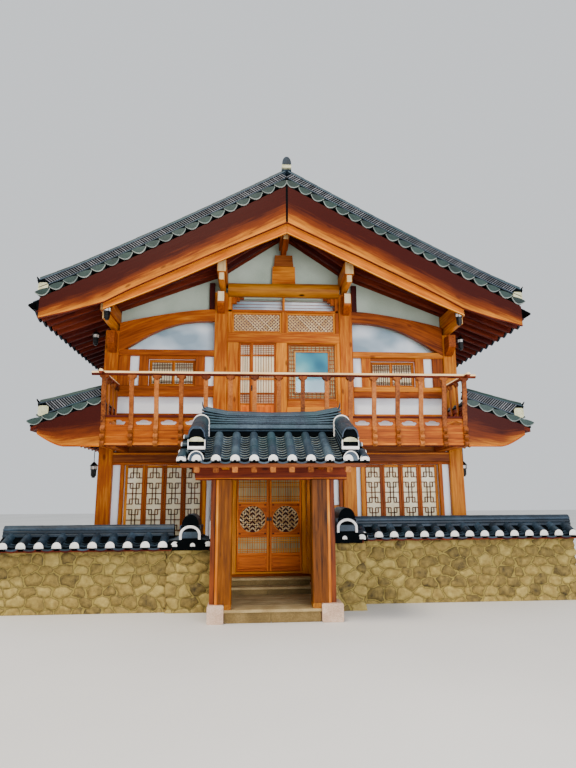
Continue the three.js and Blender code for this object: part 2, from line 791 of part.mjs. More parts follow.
// Ridge over the main roof: half width, shoulder and crown heights, and its raised tips
const RIDGE = { half: 169, shoulder: 8640, crown: 8750, crownHalf: 110, tip: 8850 };

function buildRidge() {
  const slope = (x) => [x, rafterUnderside(x) - SEAT_GAP];
  const purlinOutline = [
    [-BEARER_HALF, RIDGE_BEARER_LOW], [BEARER_HALF, RIDGE_BEARER_LOW],
    [BEARER_HALF, RIDGE_PURLIN_LOW], [PURLIN_HALF, RIDGE_PURLIN_LOW],
    slope(PURLIN_HALF), slope(0), slope(-PURLIN_HALF),
    [-PURLIN_HALF, RIDGE_PURLIN_LOW], [-BEARER_HALF, RIDGE_PURLIN_LOW],
  ];
  add('ridge_purlin', plateY(purlinOutline, -PURLIN_END, PURLIN_END), 'darkWood');
  const tileTop = (x) => roofLine(x) + TILE_THICK + SEAT_GAP;
  const { half, shoulder, crown, crownHalf, tip } = RIDGE;
  const section = [
    [-half, tileTop(half)], [0, tileTop(0)], [half, tileTop(half)], [half, shoulder],
    [crownHalf, crown], [-crownHalf, crown], [-half, shoulder],
  ];
  const end = VERGE + VERGE_OVERHANG;
  const body = plateY(section, -end, end);
  const back = [[end - 520, crown - 50], [end, crown - 50], [end, tip], [end - 140, tip - 10]];
  const tips = [
    plateX(back, -crownHalf, crownHalf),
    plateX(mirrored(back), -crownHalf, crownHalf),
  ];
  add('main_ridge', fuse([body, ...tips]), 'tile');
}

// Lower edges of the two boards, measured from the bed of the tiles
const BOARD_END = 4720;
const UNDER_BOARD_END = 3540;
const UNDER_BOARD_TOP = -500;
const BOARD_LOW = [
  [0, -820], [700, -670], [1430, -600], [2480, -620], [3530, -670], [4090, -560],
  [BOARD_END, -410],
];
const UNDER_BOARD_LOW = [
  [0, -1030], [740, -930], [1430, -900], [2480, -830], [UNDER_BOARD_END, -780],
];

function boardStrip(x1, low, high) {
  const xs = [...new Set([...ROOF_STATIONS, ...low.map((row) => row[0])])]
    .filter((x) => x < x1 - 1)
    .sort((a, b) => a - b);
  xs.push(x1);
  const bottom = xs.map((x) => [x, roofLine(x) + fromTable(low, x)]);
  const top = xs.map((x) => [x, roofLine(x) + high - SEAT_GAP]).reverse();
  return [...bottom, ...top];
}

function buildBargeboards(name, end) {
  const near = (offset) => (end < 0 ? -VERGE + offset : VERGE - offset);
  const pair = (strip, a, b) => [-1, 1].map((side) => plateY(
    sided(strip, side), Math.min(near(a), near(b)), Math.max(near(a), near(b)),
  ));
  const upper = boardStrip(BOARD_END, BOARD_LOW, 0);
  const under = boardStrip(UNDER_BOARD_END, UNDER_BOARD_LOW, UNDER_BOARD_TOP);
  const boards = [...pair(upper, 0, BOARD_THICK), ...pair(under, BOARD_THICK - 5, BOARD_BACK)];
  add(name, fuse(boards), 'wood');
}

// Side roofs over the ground floor

const WING_IN = 3440;
const WING_OUT = 4760;
const WING_BACK = 4200;
const WING_TOP = 3676;
const WING_SLOPE = 0.355;
const WING_RIDGE_WIDE = 240;
const WING_RAFTER_PITCH = 310;
const WING_COVER_PITCH = 302;
const WING_COVER_ROWS = 28;
const WING_PLATE_X = [4500, 4560];
const WING_PLATE_Z = [3110, 3240];

// Lower edge of the end boards of a side roof
const WING_BOARD = [[WING_IN, 2866], [4100, 2866], [4390, 2960], [4560, 3090]];

// Top of the raised tiles at the ends of a side roof
const WING_RIDGE_TOP = [[4590, 3735], [4300, 3780], [WING_IN, 4020]];

// Top of the boarding of a side roof
function wingLine(x) {
  return WING_TOP - WING_SLOPE * (x - WING_IN);
}

function wingStrip(x0, x1, low, high) {
  return [
    [x0, wingLine(x0) + low], [x1, wingLine(x1) + low],
    [x1, wingLine(x1) + high], [x0, wingLine(x0) + high],
  ];
}

function wingTiles(side) {
  const ridge = [
    [WING_IN, wingLine(WING_IN) + VERGE_FOOT], [WING_OUT, wingLine(WING_OUT) + VERGE_FOOT],
    [WING_OUT, wingLine(WING_OUT) + 260], ...WING_RIDGE_TOP,
  ];
  const slab = sided(wingStrip(WING_IN, WING_OUT, 0, PAN_THICK), side);
  const front = -VERGE - VERGE_OVERHANG;
  const back = WING_BACK + VERGE_OVERHANG;
  const path = [WING_IN, WING_OUT].map((x) => [side * x, wingLine(x)]);
  const section = coverSection(WING_COVER_HALF, side > 0);
  const rows = [];
  for (let k = 0; k < WING_COVER_ROWS; k += 1) {
    const y = (front + back) / 2 + (k - (WING_COVER_ROWS - 1) / 2) * WING_COVER_PITCH;
    rows.push(carry(path, section, (x, z, u, v) => [x, y + u, z + v]));
  }
  return fuse([
    ...rows,
    plateY(slab, front, back),
    plateY(sided(ridge, side), front, front + WING_RIDGE_WIDE + 40),
    plateY(sided(ridge, side), back - WING_RIDGE_WIDE - 40, back),
  ]);
}

function wingTimber(side) {
  const front = -VERGE;
  const outer = WING_BOARD[3][0];
  const board = [
    ...WING_BOARD, [outer, wingLine(outer) - SEAT_GAP], [WING_IN, wingLine(WING_IN) - SEAT_GAP],
  ];
  const deck = sided(wingStrip(WING_IN, 4700, -80, -SEAT_GAP), side);
  const rafter = sided(wingStrip(WING_IN, 4600, -180, -70), side);
  const [near, far] = WING_PLATE_X;
  const plateX0 = side < 0 ? -far : near;
  const pieces = [
    plateY(deck, front + 40, WING_BACK - 40),
    plateY(sided(board, side), front, front + 50),
    plateY(sided(board, side), WING_BACK - 50, WING_BACK),
    box(plateX0, plateX0 + far - near, front + 40, WING_BACK - 40, ...WING_PLATE_Z),
  ];
  for (let y = front + 300; y < WING_BACK - 100; y += WING_RAFTER_PITCH) {
    pieces.push(plateY(rafter, y - 40, y + 40));
  }
  return fuse(pieces);
}

// The side roofs stop at the walls of the house
function buildWing(word, side) {
  const inner = HALF_WIDTH + SEAT_GAP;
  const clear = box(-inner, inner, -HALF_DEPTH - SEAT_GAP, 5000, 2000, 5000);
  add(`wing_roof_${word}`, cut(wingTiles(side), [clear]), 'tile');
  add(`wing_frame_${word}`, cut(wingTimber(side), [clear]), 'darkWood');
}

// Balcony

function cloudHole(x, z) {
  return [
    [x - 110, z], [x - 80, z - 34], [x + 80, z - 34], [x + 110, z],
    [x + 70, z + 20], [x + 34, z + 44], [x - 34, z + 44], [x - 70, z + 20],
  ];
}

// Side view of one baluster in Y and Z, leaning outwards under the handrail
const BALUSTER_SIDE = [
  [-30, 2870], [0, 2870], [0, 3400], [-20, 3560], [-70, 3760], [-95, 3950], [-85, 4190],
  [-135, 4190], [-150, 3960], [-130, 3760], [-88, 3560], [-72, 3400], [-80, 3250],
  [-110, 3120], [-80, 3000],
];
const BALUSTER_SPAN = 3400;
const BALUSTER_HALF = 32;
const PANEL_LOW = 2870;
const PANEL_TOP = 3440;
const PANEL_THICK = 30;
const CLOUD_Z = 3310;
const SHELF = [3400, 3450];
const HANDRAIL_RADIUS = 45;
const HANDRAIL_HALF = 3633;
const HANDRAIL_OUT = 120;
const RAIL_END = 320;
const SIDE_BALUSTER_Y = [-4290, -3945, -3650];

function sideRailing(name, side) {
  const x = side * (BALCONY_HALF - PANEL_THICK / 2);
  const half = PANEL_THICK / 2;
  const start = BALCONY_FRONT + SEAT_GAP;
  const end = -HALF_DEPTH - 1;
  const pieces = [
    box(x - half, x + half, start, end, PANEL_LOW, PANEL_TOP),
    box(x - half, x + half, start, end, ...SHELF),
    rodY(x, RAIL_Z, start, end, HANDRAIL_RADIUS, 10),
  ];
  for (const y of SIDE_BALUSTER_Y) {
    pieces.push(box(x - 15, x + 15, y - BALUSTER_HALF, y + BALUSTER_HALF, SHELF[0], RAIL_Z));
  }
  add(name, fuse(pieces), 'wood');
}

function buildRailing() {
  const front = BALCONY_FRONT;
  const pitch = (2 * BALUSTER_SPAN) / (BALUSTERS - 1);
  const holes = [];
  const balusters = [];
  const profile = BALUSTER_SIDE.map(([y, z]) => [y + front - 10, z]);
  for (let i = 0; i < BALUSTERS; i += 1) {
    const x = -BALUSTER_SPAN + i * pitch;
    if (i > 0) {
      holes.push(cloudHole(x - pitch / 2, CLOUD_Z));
    }
    balusters.push(plateX(profile, x - BALUSTER_HALF, x + BALUSTER_HALF));
  }
  const panel = rect(-BALCONY_HALF, BALCONY_HALF, PANEL_LOW, PANEL_TOP);
  const rail = front - HANDRAIL_OUT;
  // The side handrails cross the front one and stick out past it
  const railEnds = [-1, 1].map((side) => rodY(
    side * (BALCONY_HALF - PANEL_THICK / 2), RAIL_Z, front - RAIL_END, front, HANDRAIL_RADIUS, 10,
  ));
  const pieces = [
    plateY(panel, front - PANEL_THICK, front, holes),
    ...balusters,
    box(-BALCONY_HALF, BALCONY_HALF, front - 60, front, ...SHELF),
    rodX(-HANDRAIL_HALF, HANDRAIL_HALF, rail, RAIL_Z, HANDRAIL_RADIUS, 10),
    ...railEnds,
  ];
  add('balcony_railing', fuse(pieces), 'wood');
  sideRailing('balcony_railing_left', -1);
  sideRailing('balcony_railing_right', 1);
}

const JOIST_X = [-3260, -1340, 1340, 3260];
const JOIST_HALF = 90;
const BALCONY_FLOOR_THICK = 70;

function buildBalconyFloor() {
  const half = BALCONY_HALF - PANEL_THICK - 1;
  const low = UPPER_FLOOR - BALCONY_FLOOR_THICK;
  const pieces = [box(-half, half, BALCONY_FRONT, FRAME_BACK, low, UPPER_FLOOR)];
  for (const x of JOIST_X) {
    const [x0, x1] = [x - JOIST_HALF, x + JOIST_HALF];
    pieces.push(box(x0, x1, BALCONY_FRONT, FRAME_BACK, HEAD_TOP, low + LAP));
  }
  add('balcony_floor', fuse(pieces), 'wood');
}

// Gate

const GATE_LINE = [[0, 2965], [475, 2715], [GATE_EAVE, 2478]];

function gateTop(d) {
  return fromTable(GATE_LINE, d);
}

// Left and right members of the gate, in X: stone, post, foot of the post, side board
const GATE_SIDES = {
  left: {
    stone: [-1370, STEP_LEFT], post: [-1260, -995], foot: [STEP_LEFT, -995], board: [-1345, -1250],
  },
  right: {
    stone: [STEP_RIGHT, 800], post: [315, 615], foot: [315, STEP_RIGHT], board: [605, 700],
  },
};
const GATE_POST_HALF = 145;
const GATE_BOARD_BACK = -4450;

function buildGateSide(word) {
  const y0 = GATE_Y - GATE_POST_HALF;
  const y1 = GATE_Y + GATE_POST_HALF;
  const { stone, post, foot, board } = GATE_SIDES[word];
  const base = box(...stone, y0 - 60, y1 + 60, 0, GATE_STONE_TOP);
  add(`gate_base_${word}`, base, 'granite');
  const timbers = [
    box(...post, y0, y1, GATE_STONE_TOP, LINTEL_BOTTOM),
    box(...foot, y0, y1, STEP_TOP, GATE_STONE_TOP + LAP),
    box(...board, y0 + 40, GATE_BOARD_BACK, GATE_STONE_TOP, LINTEL_BOTTOM),
  ];
  add(`gate_post_${word}`, fuse(timbers), 'wood');
}

function gateStrip(d1, low, high) {
  const ds = [0, GATE_LINE[1][0], d1];
  const half = (sign, offset) => ds.map((d) => [GATE_Y + sign * d, gateTop(d) + offset]);
  return [
    ...half(-1, low).reverse(), ...half(1, low).slice(1),
    ...half(1, high).reverse(), ...half(-1, high).slice(1),
  ];
}

// Right half of the gate ridge seen from the front: distance from the middle and height
const GATE_RIDGE_LOW = [[0, 3000], [1205, 3000]];
const GATE_RIDGE_HIGH = [[0, 3345], [750, 3368], [1170, 3450], [1205, 3570]];
const GATE_RIDGE_HALF = 95;
const GATE_RIDGE_SEAT = 60;
// Verge ridges: their place over the slope, and their top line as distance and height
const GATE_SIDE_TILES = 165;
const GATE_SIDE_HIGH = 95;
const GATE_VERGE_WIDE = 266;
const GATE_VERGE_TOP = [[40, 3345], [870, 3040]];
// At the back they stop short of the balcony
const GATE_VERGE_BACK = 450;
const GATE_VERGE_ROUND = [[133, -110], [133, -70], [78, 0]];

// Wall of a verge ridge from the bed up to the foot of its round top, seen from the side
function gateVergeWall() {
  const [[inner], [outer]] = GATE_VERGE_TOP;
  const low = (d, sign) => [GATE_Y + sign * d, gateTop(d) - GATE_BED / 2];
  const foot = GATE_VERGE_ROUND[1][1];
  const high = (d, sign) => [GATE_Y + sign * d, fromTable(GATE_VERGE_TOP, d) + foot];
  return [
    low(outer, -1), low(GATE_LINE[1][0], -1), low(0, 1), low(GATE_VERGE_BACK, 1),
    high(GATE_VERGE_BACK, 1), high(inner, 1), high(inner, -1), high(outer, -1),
  ];
}

function buildGateRoof() {
  const x0 = GATE_AXIS - GATE_HALF;
  const x1 = GATE_AXIS + GATE_HALF;
  const at = (rows, sign) => rows.map(([d, z]) => [GATE_AXIS + sign * d, z]);
  const ridge = [
    ...at(GATE_RIDGE_LOW, -1).reverse(), ...at(GATE_RIDGE_LOW, 1).slice(1),
    ...at(GATE_RIDGE_HIGH, 1).reverse(), ...at(GATE_RIDGE_HIGH, -1).slice(1),
  ];
  const y0 = GATE_Y - GATE_RIDGE_HALF;
  const y1 = GATE_Y + GATE_RIDGE_HALF;
  const seat = [
    [y0, gateTop(GATE_RIDGE_HALF) - GATE_BED / 2], [GATE_Y, gateTop(0) - GATE_BED / 2],
    [y1, gateTop(GATE_RIDGE_HALF) - GATE_BED / 2],
    [y1, GATE_RIDGE_LOW[0][1] + GATE_RIDGE_SEAT], [y0, GATE_RIDGE_LOW[0][1] + GATE_RIDGE_SEAT],
  ];
  const verge0 = x0 + GATE_SIDE_TILES;
  const verge1 = x1 - GATE_SIDE_TILES;
  const sides = gateStrip(GATE_EAVE, -GATE_BED / 2, GATE_SIDE_HIGH);
  const pieces = [
    plateX(gateStrip(GATE_EAVE, -GATE_BED, 0), x0, x1),
    plateX(sides, x0, verge0 + LAP),
    plateX(sides, verge1 - LAP, x1),
    plateX(gateVergeWall(), verge0, verge0 + GATE_VERGE_WIDE),
    plateX(gateVergeWall(), verge1 - GATE_VERGE_WIDE, verge1),
    plateX(seat, verge0 + LAP, verge1 - LAP),
    plateY(ridge, y0, y1),
  ];
  for (const sign of [-1, 1]) {
    const slope = GATE_LINE.map(([d, z]) => [GATE_Y + sign * d, z]);
    const section = coverSection(GATE_COVER_HALF, sign < 0);
    for (let k = 0; k < GATE_COVER_ROWS; k += 1) {
      const x = GATE_AXIS + (k - (GATE_COVER_ROWS - 1) / 2) * GATE_COVER_PITCH;
      pieces.push(carry(slope, section, (y, z, u, v) => [x + u, y, z + v]));
    }
    const reach = sign < 0 ? GATE_VERGE_TOP[1][0] : GATE_VERGE_BACK;
    const ds = [GATE_VERGE_TOP[0][0], reach];
    const top = ds.map((d) => [GATE_Y + sign * d, fromTable(GATE_VERGE_TOP, d)]);
    const round = coverSection(GATE_VERGE_ROUND, sign < 0);
    for (const x of [verge0 + GATE_VERGE_WIDE / 2, verge1 - GATE_VERGE_WIDE / 2]) {
      pieces.push(carry(top, round, (y, z, u, v) => [x + u, y, z + v]));
    }
  }
  add('gate_roof', fuse(pieces), 'tile');
}

// Beams of the gate: lintel, short post to the ridge beam, arms, eave purlins, boards, rafters
const LINTEL_DEEP = 218;
const LINTEL_X = [-1610, 920];
const GATE_ARM_X = [-1110, 465];
const GATE_ARM_REACH = 640;
const GATE_PURLIN_OUT = 560;
const GATE_RIDGE_BEAM = [2680, 2805];
const GATE_RAFTERS = 9;

function buildGateBeams() {
  const x0 = GATE_AXIS - GATE_HALF + 60;
  const x1 = GATE_AXIS + GATE_HALF - 60;
  const lintelTop = LINTEL_BOTTOM + LINTEL_DEEP;
  const across = (half, a, b, z0, z1) => box(a, b, GATE_Y - half, GATE_Y + half, z0, z1);
  const pieces = [
    across(110, ...LINTEL_X, LINTEL_BOTTOM, lintelTop),
    across(60, GATE_AXIS - 80, GATE_AXIS + 80, lintelTop - LAP, GATE_RIDGE_BEAM[1] - 5),
    across(60, x0, x1, ...GATE_RIDGE_BEAM),
    plateX(gateStrip(880, -GATE_BED - GATE_DECK, -GATE_BED - SEAT_GAP), x0, x1),
    ...GATE_ARM_X.map((x) => across(GATE_ARM_REACH, x - 60, x + 60, lintelTop - 50, lintelTop)),
  ];
  for (const sign of [-1, 1]) {
    const y = GATE_Y + sign * GATE_PURLIN_OUT;
    pieces.push(box(...LINTEL_X, y - 40, y + 40, lintelTop - LAP, 2540));
  }
  const deckLow = -GATE_BED - GATE_DECK;
  const strip = gateStrip(900, deckLow - GATE_RAFTER, deckLow + LAP);
  const pitch = (x1 - x0 - 100) / (GATE_RAFTERS - 1);
  for (let i = 0; i < GATE_RAFTERS; i += 1) {
    const x = x0 + 50 + i * pitch;
    pieces.push(plateX(strip, x - 35, x + 35));
  }
  add('gate_beams', fuse(pieces), 'wood');
}

// Yard walls

// Ridges of the copings as half width and height: on the walls, and the taller ones on the piers
const COPING_RIDGE = [[110, 250], [80, 440]];
const PIER_RIDGE = [[195, 200], [195, 420], [160, 430], [160, 530], [95, 625]];

// Section of a tiled coping across the wall: eaves, slopes and a ridge
function copingSection(y, half, z0, ridge) {
  const right = [
    [half - 60, 0], [half, 30], [half, 110], ...ridge,
  ];
  const at = (sign) => right.map(([d, z]) => [y + sign * d, z0 + z]);
  return [...at(-1).reverse(), ...at(1)].reverse();
}

const YARD_WALLS = {
  left: {
    wall: { x0: -5050, x1: -2100, y0: -4670, y1: -4290 },
    pier: { x0: -2160, x1: -1345, y0: -4750, y1: -4250 },
    top: LEFT_WALL_TOP,
  },
  right: {
    wall: { x0: 1300, x1: 5600, y0: -4250, y1: -3870 },
    pier: { x0: 700, x1: 1360, y0: -4850, y1: -4050 },
    top: RIGHT_WALL_TOP,
  },
};
const COPING_HALF = 420;
const PIER_CAP_OVER = 60;

function buildYardWall(word) {
  const { wall, pier, top } = YARD_WALLS[word];
  const stone = [wall, pier].map(({ x0, x1, y0, y1 }) => box(x0, x1, y0, y1, 0, top));
  add(`yard_wall_${word}`, fuse(stone), 'fieldstone');
  const middle = (wall.y0 + wall.y1) / 2;
  const pierX = (pier.x0 + pier.x1) / 2;
  const pierHalf = (pier.x1 - pier.x0) / 2;
  const cap = copingSection(pierX, pierHalf, top, PIER_RIDGE);
  const coping = [
    plateX(copingSection(middle, COPING_HALF, top, COPING_RIDGE), wall.x0, wall.x1),
    plateY(cap, pier.y0 - PIER_CAP_OVER, pier.y1 + PIER_CAP_OVER),
  ];
  add(`yard_coping_${word}`, fuse(coping), 'tile');
}

// Lanterns under the eaves

const LANTERN_X = 3490;
const LANTERN_Y = -4525;
const LANTERN_TOP = 5655;

// A six-sided lantern on an arm let into the end of the eave purlin
function buildLantern(name, side) {
  const x = side * LANTERN_X;
  const y = LANTERN_Y;
  const body = new THREE.CylinderGeometry(70, 58, 210, 6);
  body.rotateX(Math.PI / 2);
  body.translate(x, y, LANTERN_TOP - 195);
  const hood = new THREE.CylinderGeometry(22, 88, 90, 6);
  hood.rotateX(Math.PI / 2);
  hood.translate(x, y, LANTERN_TOP - 50);
  const foot = rodZ(x, y, LANTERN_TOP - 335, LANTERN_TOP - 295, 42, 6);
  const hook = rodZ(x, y, LANTERN_TOP - 10, LANTERN_TOP + 45, 12, 8);
  const arm = rodY(x, LANTERN_TOP + 35, y - 12, -EAVE_PURLIN_END - SEAT_GAP, 12, 8);
  add(name, fuse([body, hood, foot, hook, arm]), 'iron');
}

buildBase();
buildLowerFrontFrame();
buildUpperFrontFrame();
buildBackFrame();
buildSideFrame('left_frame', -1);
buildSideFrame('right_frame', 1);
buildFrontWall('front_wall_left', -1);
buildFrontWall('front_wall_right', 1);
windowPlate('lattice_window_left', LATTICE, -1, 'paper');
windowPlate('lattice_window_right', LATTICE, 1, 'paper');
windowPlate('upper_window_left', UPPER_WINDOW, -1, 'paper');
windowPlate('upper_window_right', UPPER_WINDOW, 1, 'paper');
buildDoorBay();
buildDoors();
buildGableFront();
buildSideWall('left_wall', -1);
buildSideWall('right_wall', 1);
buildBackWall();
buildUpperGlass();
buildUpperDoors();
buildUpperFloor();
buildGableBeam();
buildRoofSide('roof_left', -1);
buildRoofSide('roof_right', 1);
buildRafters('rafters_left', -1);
buildRafters('rafters_right', 1);
buildRidge();
buildBargeboards('bargeboard_front', -1);
buildBargeboards('bargeboard_back', 1);
buildWing('left', -1);
buildWing('right', 1);
buildBalconyFloor();
buildRailing();
buildGateSide('left');
buildGateSide('right');
buildGateRoof();
buildGateBeams();
buildYardWall('left');
buildYardWall('right');
buildLantern('lantern_left', -1);
buildLantern('lantern_right', 1);

export default house;
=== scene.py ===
"""Hanok house with a tiled gate and stone yard walls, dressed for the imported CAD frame.

Units are metres. X runs to the right, Y runs into the house and Z is up, as in the CAD.
"""

import logging
import math
from dataclasses import dataclass
from enum import Enum

import bpy
import numpy as np
from mathutils import Matrix, Vector
from mathutils.geometry import tessellate_polygon


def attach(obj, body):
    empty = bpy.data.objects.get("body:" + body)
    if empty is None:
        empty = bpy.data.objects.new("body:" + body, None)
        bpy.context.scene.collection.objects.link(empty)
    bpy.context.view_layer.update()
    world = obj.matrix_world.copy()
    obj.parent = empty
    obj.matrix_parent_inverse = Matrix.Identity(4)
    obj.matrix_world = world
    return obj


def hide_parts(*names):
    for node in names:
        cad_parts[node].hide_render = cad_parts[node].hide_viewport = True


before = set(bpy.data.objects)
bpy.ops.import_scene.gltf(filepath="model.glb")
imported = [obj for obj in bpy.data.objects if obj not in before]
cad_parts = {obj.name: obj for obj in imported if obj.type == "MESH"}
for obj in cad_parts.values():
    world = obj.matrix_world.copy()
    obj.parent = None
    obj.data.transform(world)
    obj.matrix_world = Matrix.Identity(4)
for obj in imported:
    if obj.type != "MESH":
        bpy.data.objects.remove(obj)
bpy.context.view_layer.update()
LOG = logging.getLogger("hanok")
RANDOM_SEED = 7
UP = (0.0, 0.0, 1.0)
INWARD = (0.0, 1.0, 0.0)
Array = np.ndarray
Socket = bpy.types.NodeSocket
Pair = tuple[float, float]
# A box is written as x0, x1, y0, y1, z0, z1
Box = tuple[float, ...]


class Side(Enum):
    """The two halves of the house, seen from the street."""

    LEFT = -1
    RIGHT = 1

    @property
    def word(self) -> str:
        """Word used in names."""
        return self.name.lower()

    def boxes(self, rows: list[Box]) -> Array:
        """Boxes given for the right half, put on this half."""
        return np.array(rows, float) * [self.value, self.value, 1, 1, 1, 1]


def both_sides(rows: list[Box]) -> list[Box]:
    """Boxes given for the right half, put on both halves."""
    return [*Side.LEFT.boxes(rows), *Side.RIGHT.boxes(rows)]


def about(middle: float, half: float) -> Pair:
    """Lower and upper end of a span about its middle."""
    return (middle - half, middle + half)


def spans(start: float, end: float, count: int, gap: float = 0.0) -> list[Pair]:
    """Even lengths between two ends, each cut back by the gap at both ends."""
    cuts = np.linspace(start, end, count + 1)
    return [(a + gap, b - gap) for a, b in zip(cuts[:-1], cuts[1:])]


def at(x: Array, y: Array, z: Array) -> Array:
    """Points from three coordinates, each a number or an array."""
    return np.stack(np.broadcast_arrays(x, y, z), axis=-1).astype(float)


def table(rows: list[Pair], places: Array) -> Array:
    """Values at places, straight between the rows of a table of (place, value)."""
    keys, values = np.asarray(rows, float).T
    return np.interp(np.abs(places), keys, values)


def linear(hex_colour: str) -> tuple[float, float, float, float]:
    """Turns an sRGB hex colour into Blender's linear colour with an alpha of one.

    A channel c becomes ((c + 0.055) / 1.055) to the power 2.4, or c / 12.92 below 0.04045.

    Args:
        hex_colour: Colour as # and six digits.

    Returns:
        Red, green, blue and alpha.
    """
    channels = [int(hex_colour[i : i + 2], 16) / 255 for i in (1, 3, 5)]
    bent = [c / 12.92 if c <= 0.04045 else ((c + 0.055) / 1.055) ** 2.4 for c in channels]
    return (*bent, 1.0)


def unit(vectors: Array) -> Array:
    """Vectors, along the last axis, scaled to length one."""
    return vectors / np.maximum(np.linalg.norm(vectors, axis=-1, keepdims=True), 1e-12)


def reached(points: Array) -> Array:
    """Distance along a path, or along several, at each of its points."""
    gaps = np.linalg.norm(np.diff(points, axis=-2), axis=-1)
    return np.concatenate([gaps[..., :1] * 0, np.cumsum(gaps, axis=-1)], axis=-1)


@dataclass
class Patch:
    """A batch of closed surfaces, with the wood-grain place and the tone of every point."""

    points: Array
    faces: list[Array]
    grain: Array
    tone: Array


def skin(rings: Array, along: Array, section: Array, seed: int) -> Patch:
    """Joins rings of points into closed bodies, and gives each a random grain step and tone.

    Ring j of a body is joined to ring j + 1 by one quad for each side, and the first and last
    rings are closed by one face each.

    Args:
        rings: Points, as bodies x rings x sides x 3.
        along: Distance along each body, as bodies x rings.
        section: Place in the section, as bodies x rings x sides x 2, or fewer axes.
        seed: Seed of the random steps and tones.

    Returns:
        The bodies as one patch.
    """
    bodies, count, sides, _ = rings.shape
    index = np.arange(bodies * count * sides).reshape(bodies, count, sides)
    near, far = index[:, :-1], index[:, 1:]
    around = [near, far, np.roll(far, -1, axis=2), np.roll(near, -1, axis=2)]
    quads = np.stack(around, axis=-1).reshape(-1, 4)
    caps = np.concatenate([index[:, 0], index[:, -1, ::-1]])
    random = np.random.default_rng(RANDOM_SEED + seed)
    grain = np.empty(rings.shape)
    grain[..., 0] = along[..., None]
    grain[..., 1:] = section
    grain += random.uniform(-9, 9, (bodies, 1, 1, 3))
    tone = np.broadcast_to(random.uniform(0, 1, (bodies, 1, 1)), rings.shape[:3])
    return Patch(rings.reshape(-1, 3), [quads, caps], grain.reshape(-1, 3), tone.reshape(-1).copy())


def carried(profile: Array, paths: Array, seed: int = 0, up: Array = UP) -> Patch:
    """Carries a section along paths: point = path point + u * across + v * upward.

    Across is direction x up, upward is across x direction, and the direction at a path point
    is the mean of the lengths beside it.

    Args:
        profile: Section points (u, v), counter-clockwise, one section or one for each point.
        paths: Path points, as points x 3 for one body, or bodies x points x 3.
        seed: Seed of the tones.
        up: Direction that v points to.

    Returns:
        The bodies as one patch.
    """
    paths = np.asarray(paths, float)
    paths = paths[None] if paths.ndim == 2 else paths
    section = np.broadcast_to(profile, paths.shape[:2] + np.shape(profile)[-2:])
    direction = unit(np.gradient(paths, axis=1))
    across = unit(np.cross(direction, np.broadcast_to(np.asarray(up, float), paths.shape)))
    upward = np.cross(across, direction)
    offset = section[..., :1] * across[:, :, None] + section[..., 1:] * upward[:, :, None]
    return skin(paths[:, :, None] + offset, reached(paths), section, seed)


def prisms(profile: Array, starts: Array, ends: Array, seed: int = 0, up: Array = UP) -> Patch:
    """Carries a section straight from start to end, in the way of carried paths.

    Args:
        profile: Section points (u, v), counter-clockwise, one section or one for each body.
        starts: Start of each body's axis.
        ends: End of each body's axis.
        seed: Seed of the tones.
        up: Direction that v points to, one for all or one for each body.

    Returns:
        The prisms as one patch.
    """
    paths = np.stack([np.atleast_2d(np.asarray(p, float)) for p in (starts, ends)], axis=1)
    section = np.broadcast_to(profile, paths.shape[:1] + np.shape(profile)[-2:])[:, None]
    lean = np.broadcast_to(np.asarray(up, float), paths[:, 0].shape)[:, None]
    return carried(np.broadcast_to(section, paths.shape[:2] + section.shape[-2:]), paths, seed, lean)


def oblong(wide: Array, high: Array, bevel: float = 0.0) -> Array:
    """Rectangle sections, with their corners cut off at 45 degrees where a bevel is given.

    Args:
        wide: Half width of each section.
        high: Half height of each section.
        bevel: Length cut from each side of a corner.

    Returns:
        Sections as bodies x 4 or 8 x 2, counter-clockwise.
    """
    wide, high = (np.atleast_1d(np.asarray(half, float)) for half in (wide, high))
    cut = np.minimum(bevel, 0.45 * np.minimum(wide, high))
    a, b = wide - cut, high - cut
    if bevel > 0:
        corners = [(-a, -high), (a, -high), (wide, -b), (wide, b), (a, high), (-a, high),
                   (-wide, b), (-wide, -b)]
    else:
        corners = [(-wide, -high), (wide, -high), (wide, high), (-wide, high)]
    return np.stack([np.stack(pair, axis=-1) for pair in corners], axis=1)


def arc(wide: float, high: float, count: int, turn: float = np.pi, ends: bool = True) -> Array:
    """Points (wide * cos a, high * sin a), a running from 0 to the turn, with or without it."""
    angle = np.linspace(0, turn, count, endpoint=ends)
    return np.stack([wide * np.cos(angle), high * np.sin(angle)], axis=-1)


def squared(boxes: list[Box], bevel: float = 0.008, seed: int = 0) -> Patch:
    """Squared timbers or blocks, each a box whose grain runs along its longest side.

    Args:
        boxes: Rows of x0, x1, y0, y1, z0, z1.
        bevel: Length cut from each side of a corner, or zero for plain bars.
        seed: Seed of the tones.

    Returns:
        The timbers as one patch.
    """
    rows = np.asarray(boxes, float).reshape(-1, 3, 2)
    middle = rows.mean(axis=2)
    half = np.abs(rows[:, :, 1] - rows[:, :, 0]) / 2
    axis = np.argmax(half, axis=1)
    direction = np.eye(3)[axis]
    reach = (half * direction).sum(axis=1, keepdims=True) * direction
    up = np.where((axis == 2)[:, None], INWARD, UP)
    across = np.abs(np.cross(direction, up))
    section = oblong((half * across).sum(axis=1), (half * up).sum(axis=1), bevel)
    return prisms(section, middle - reach, middle + reach, seed, up)


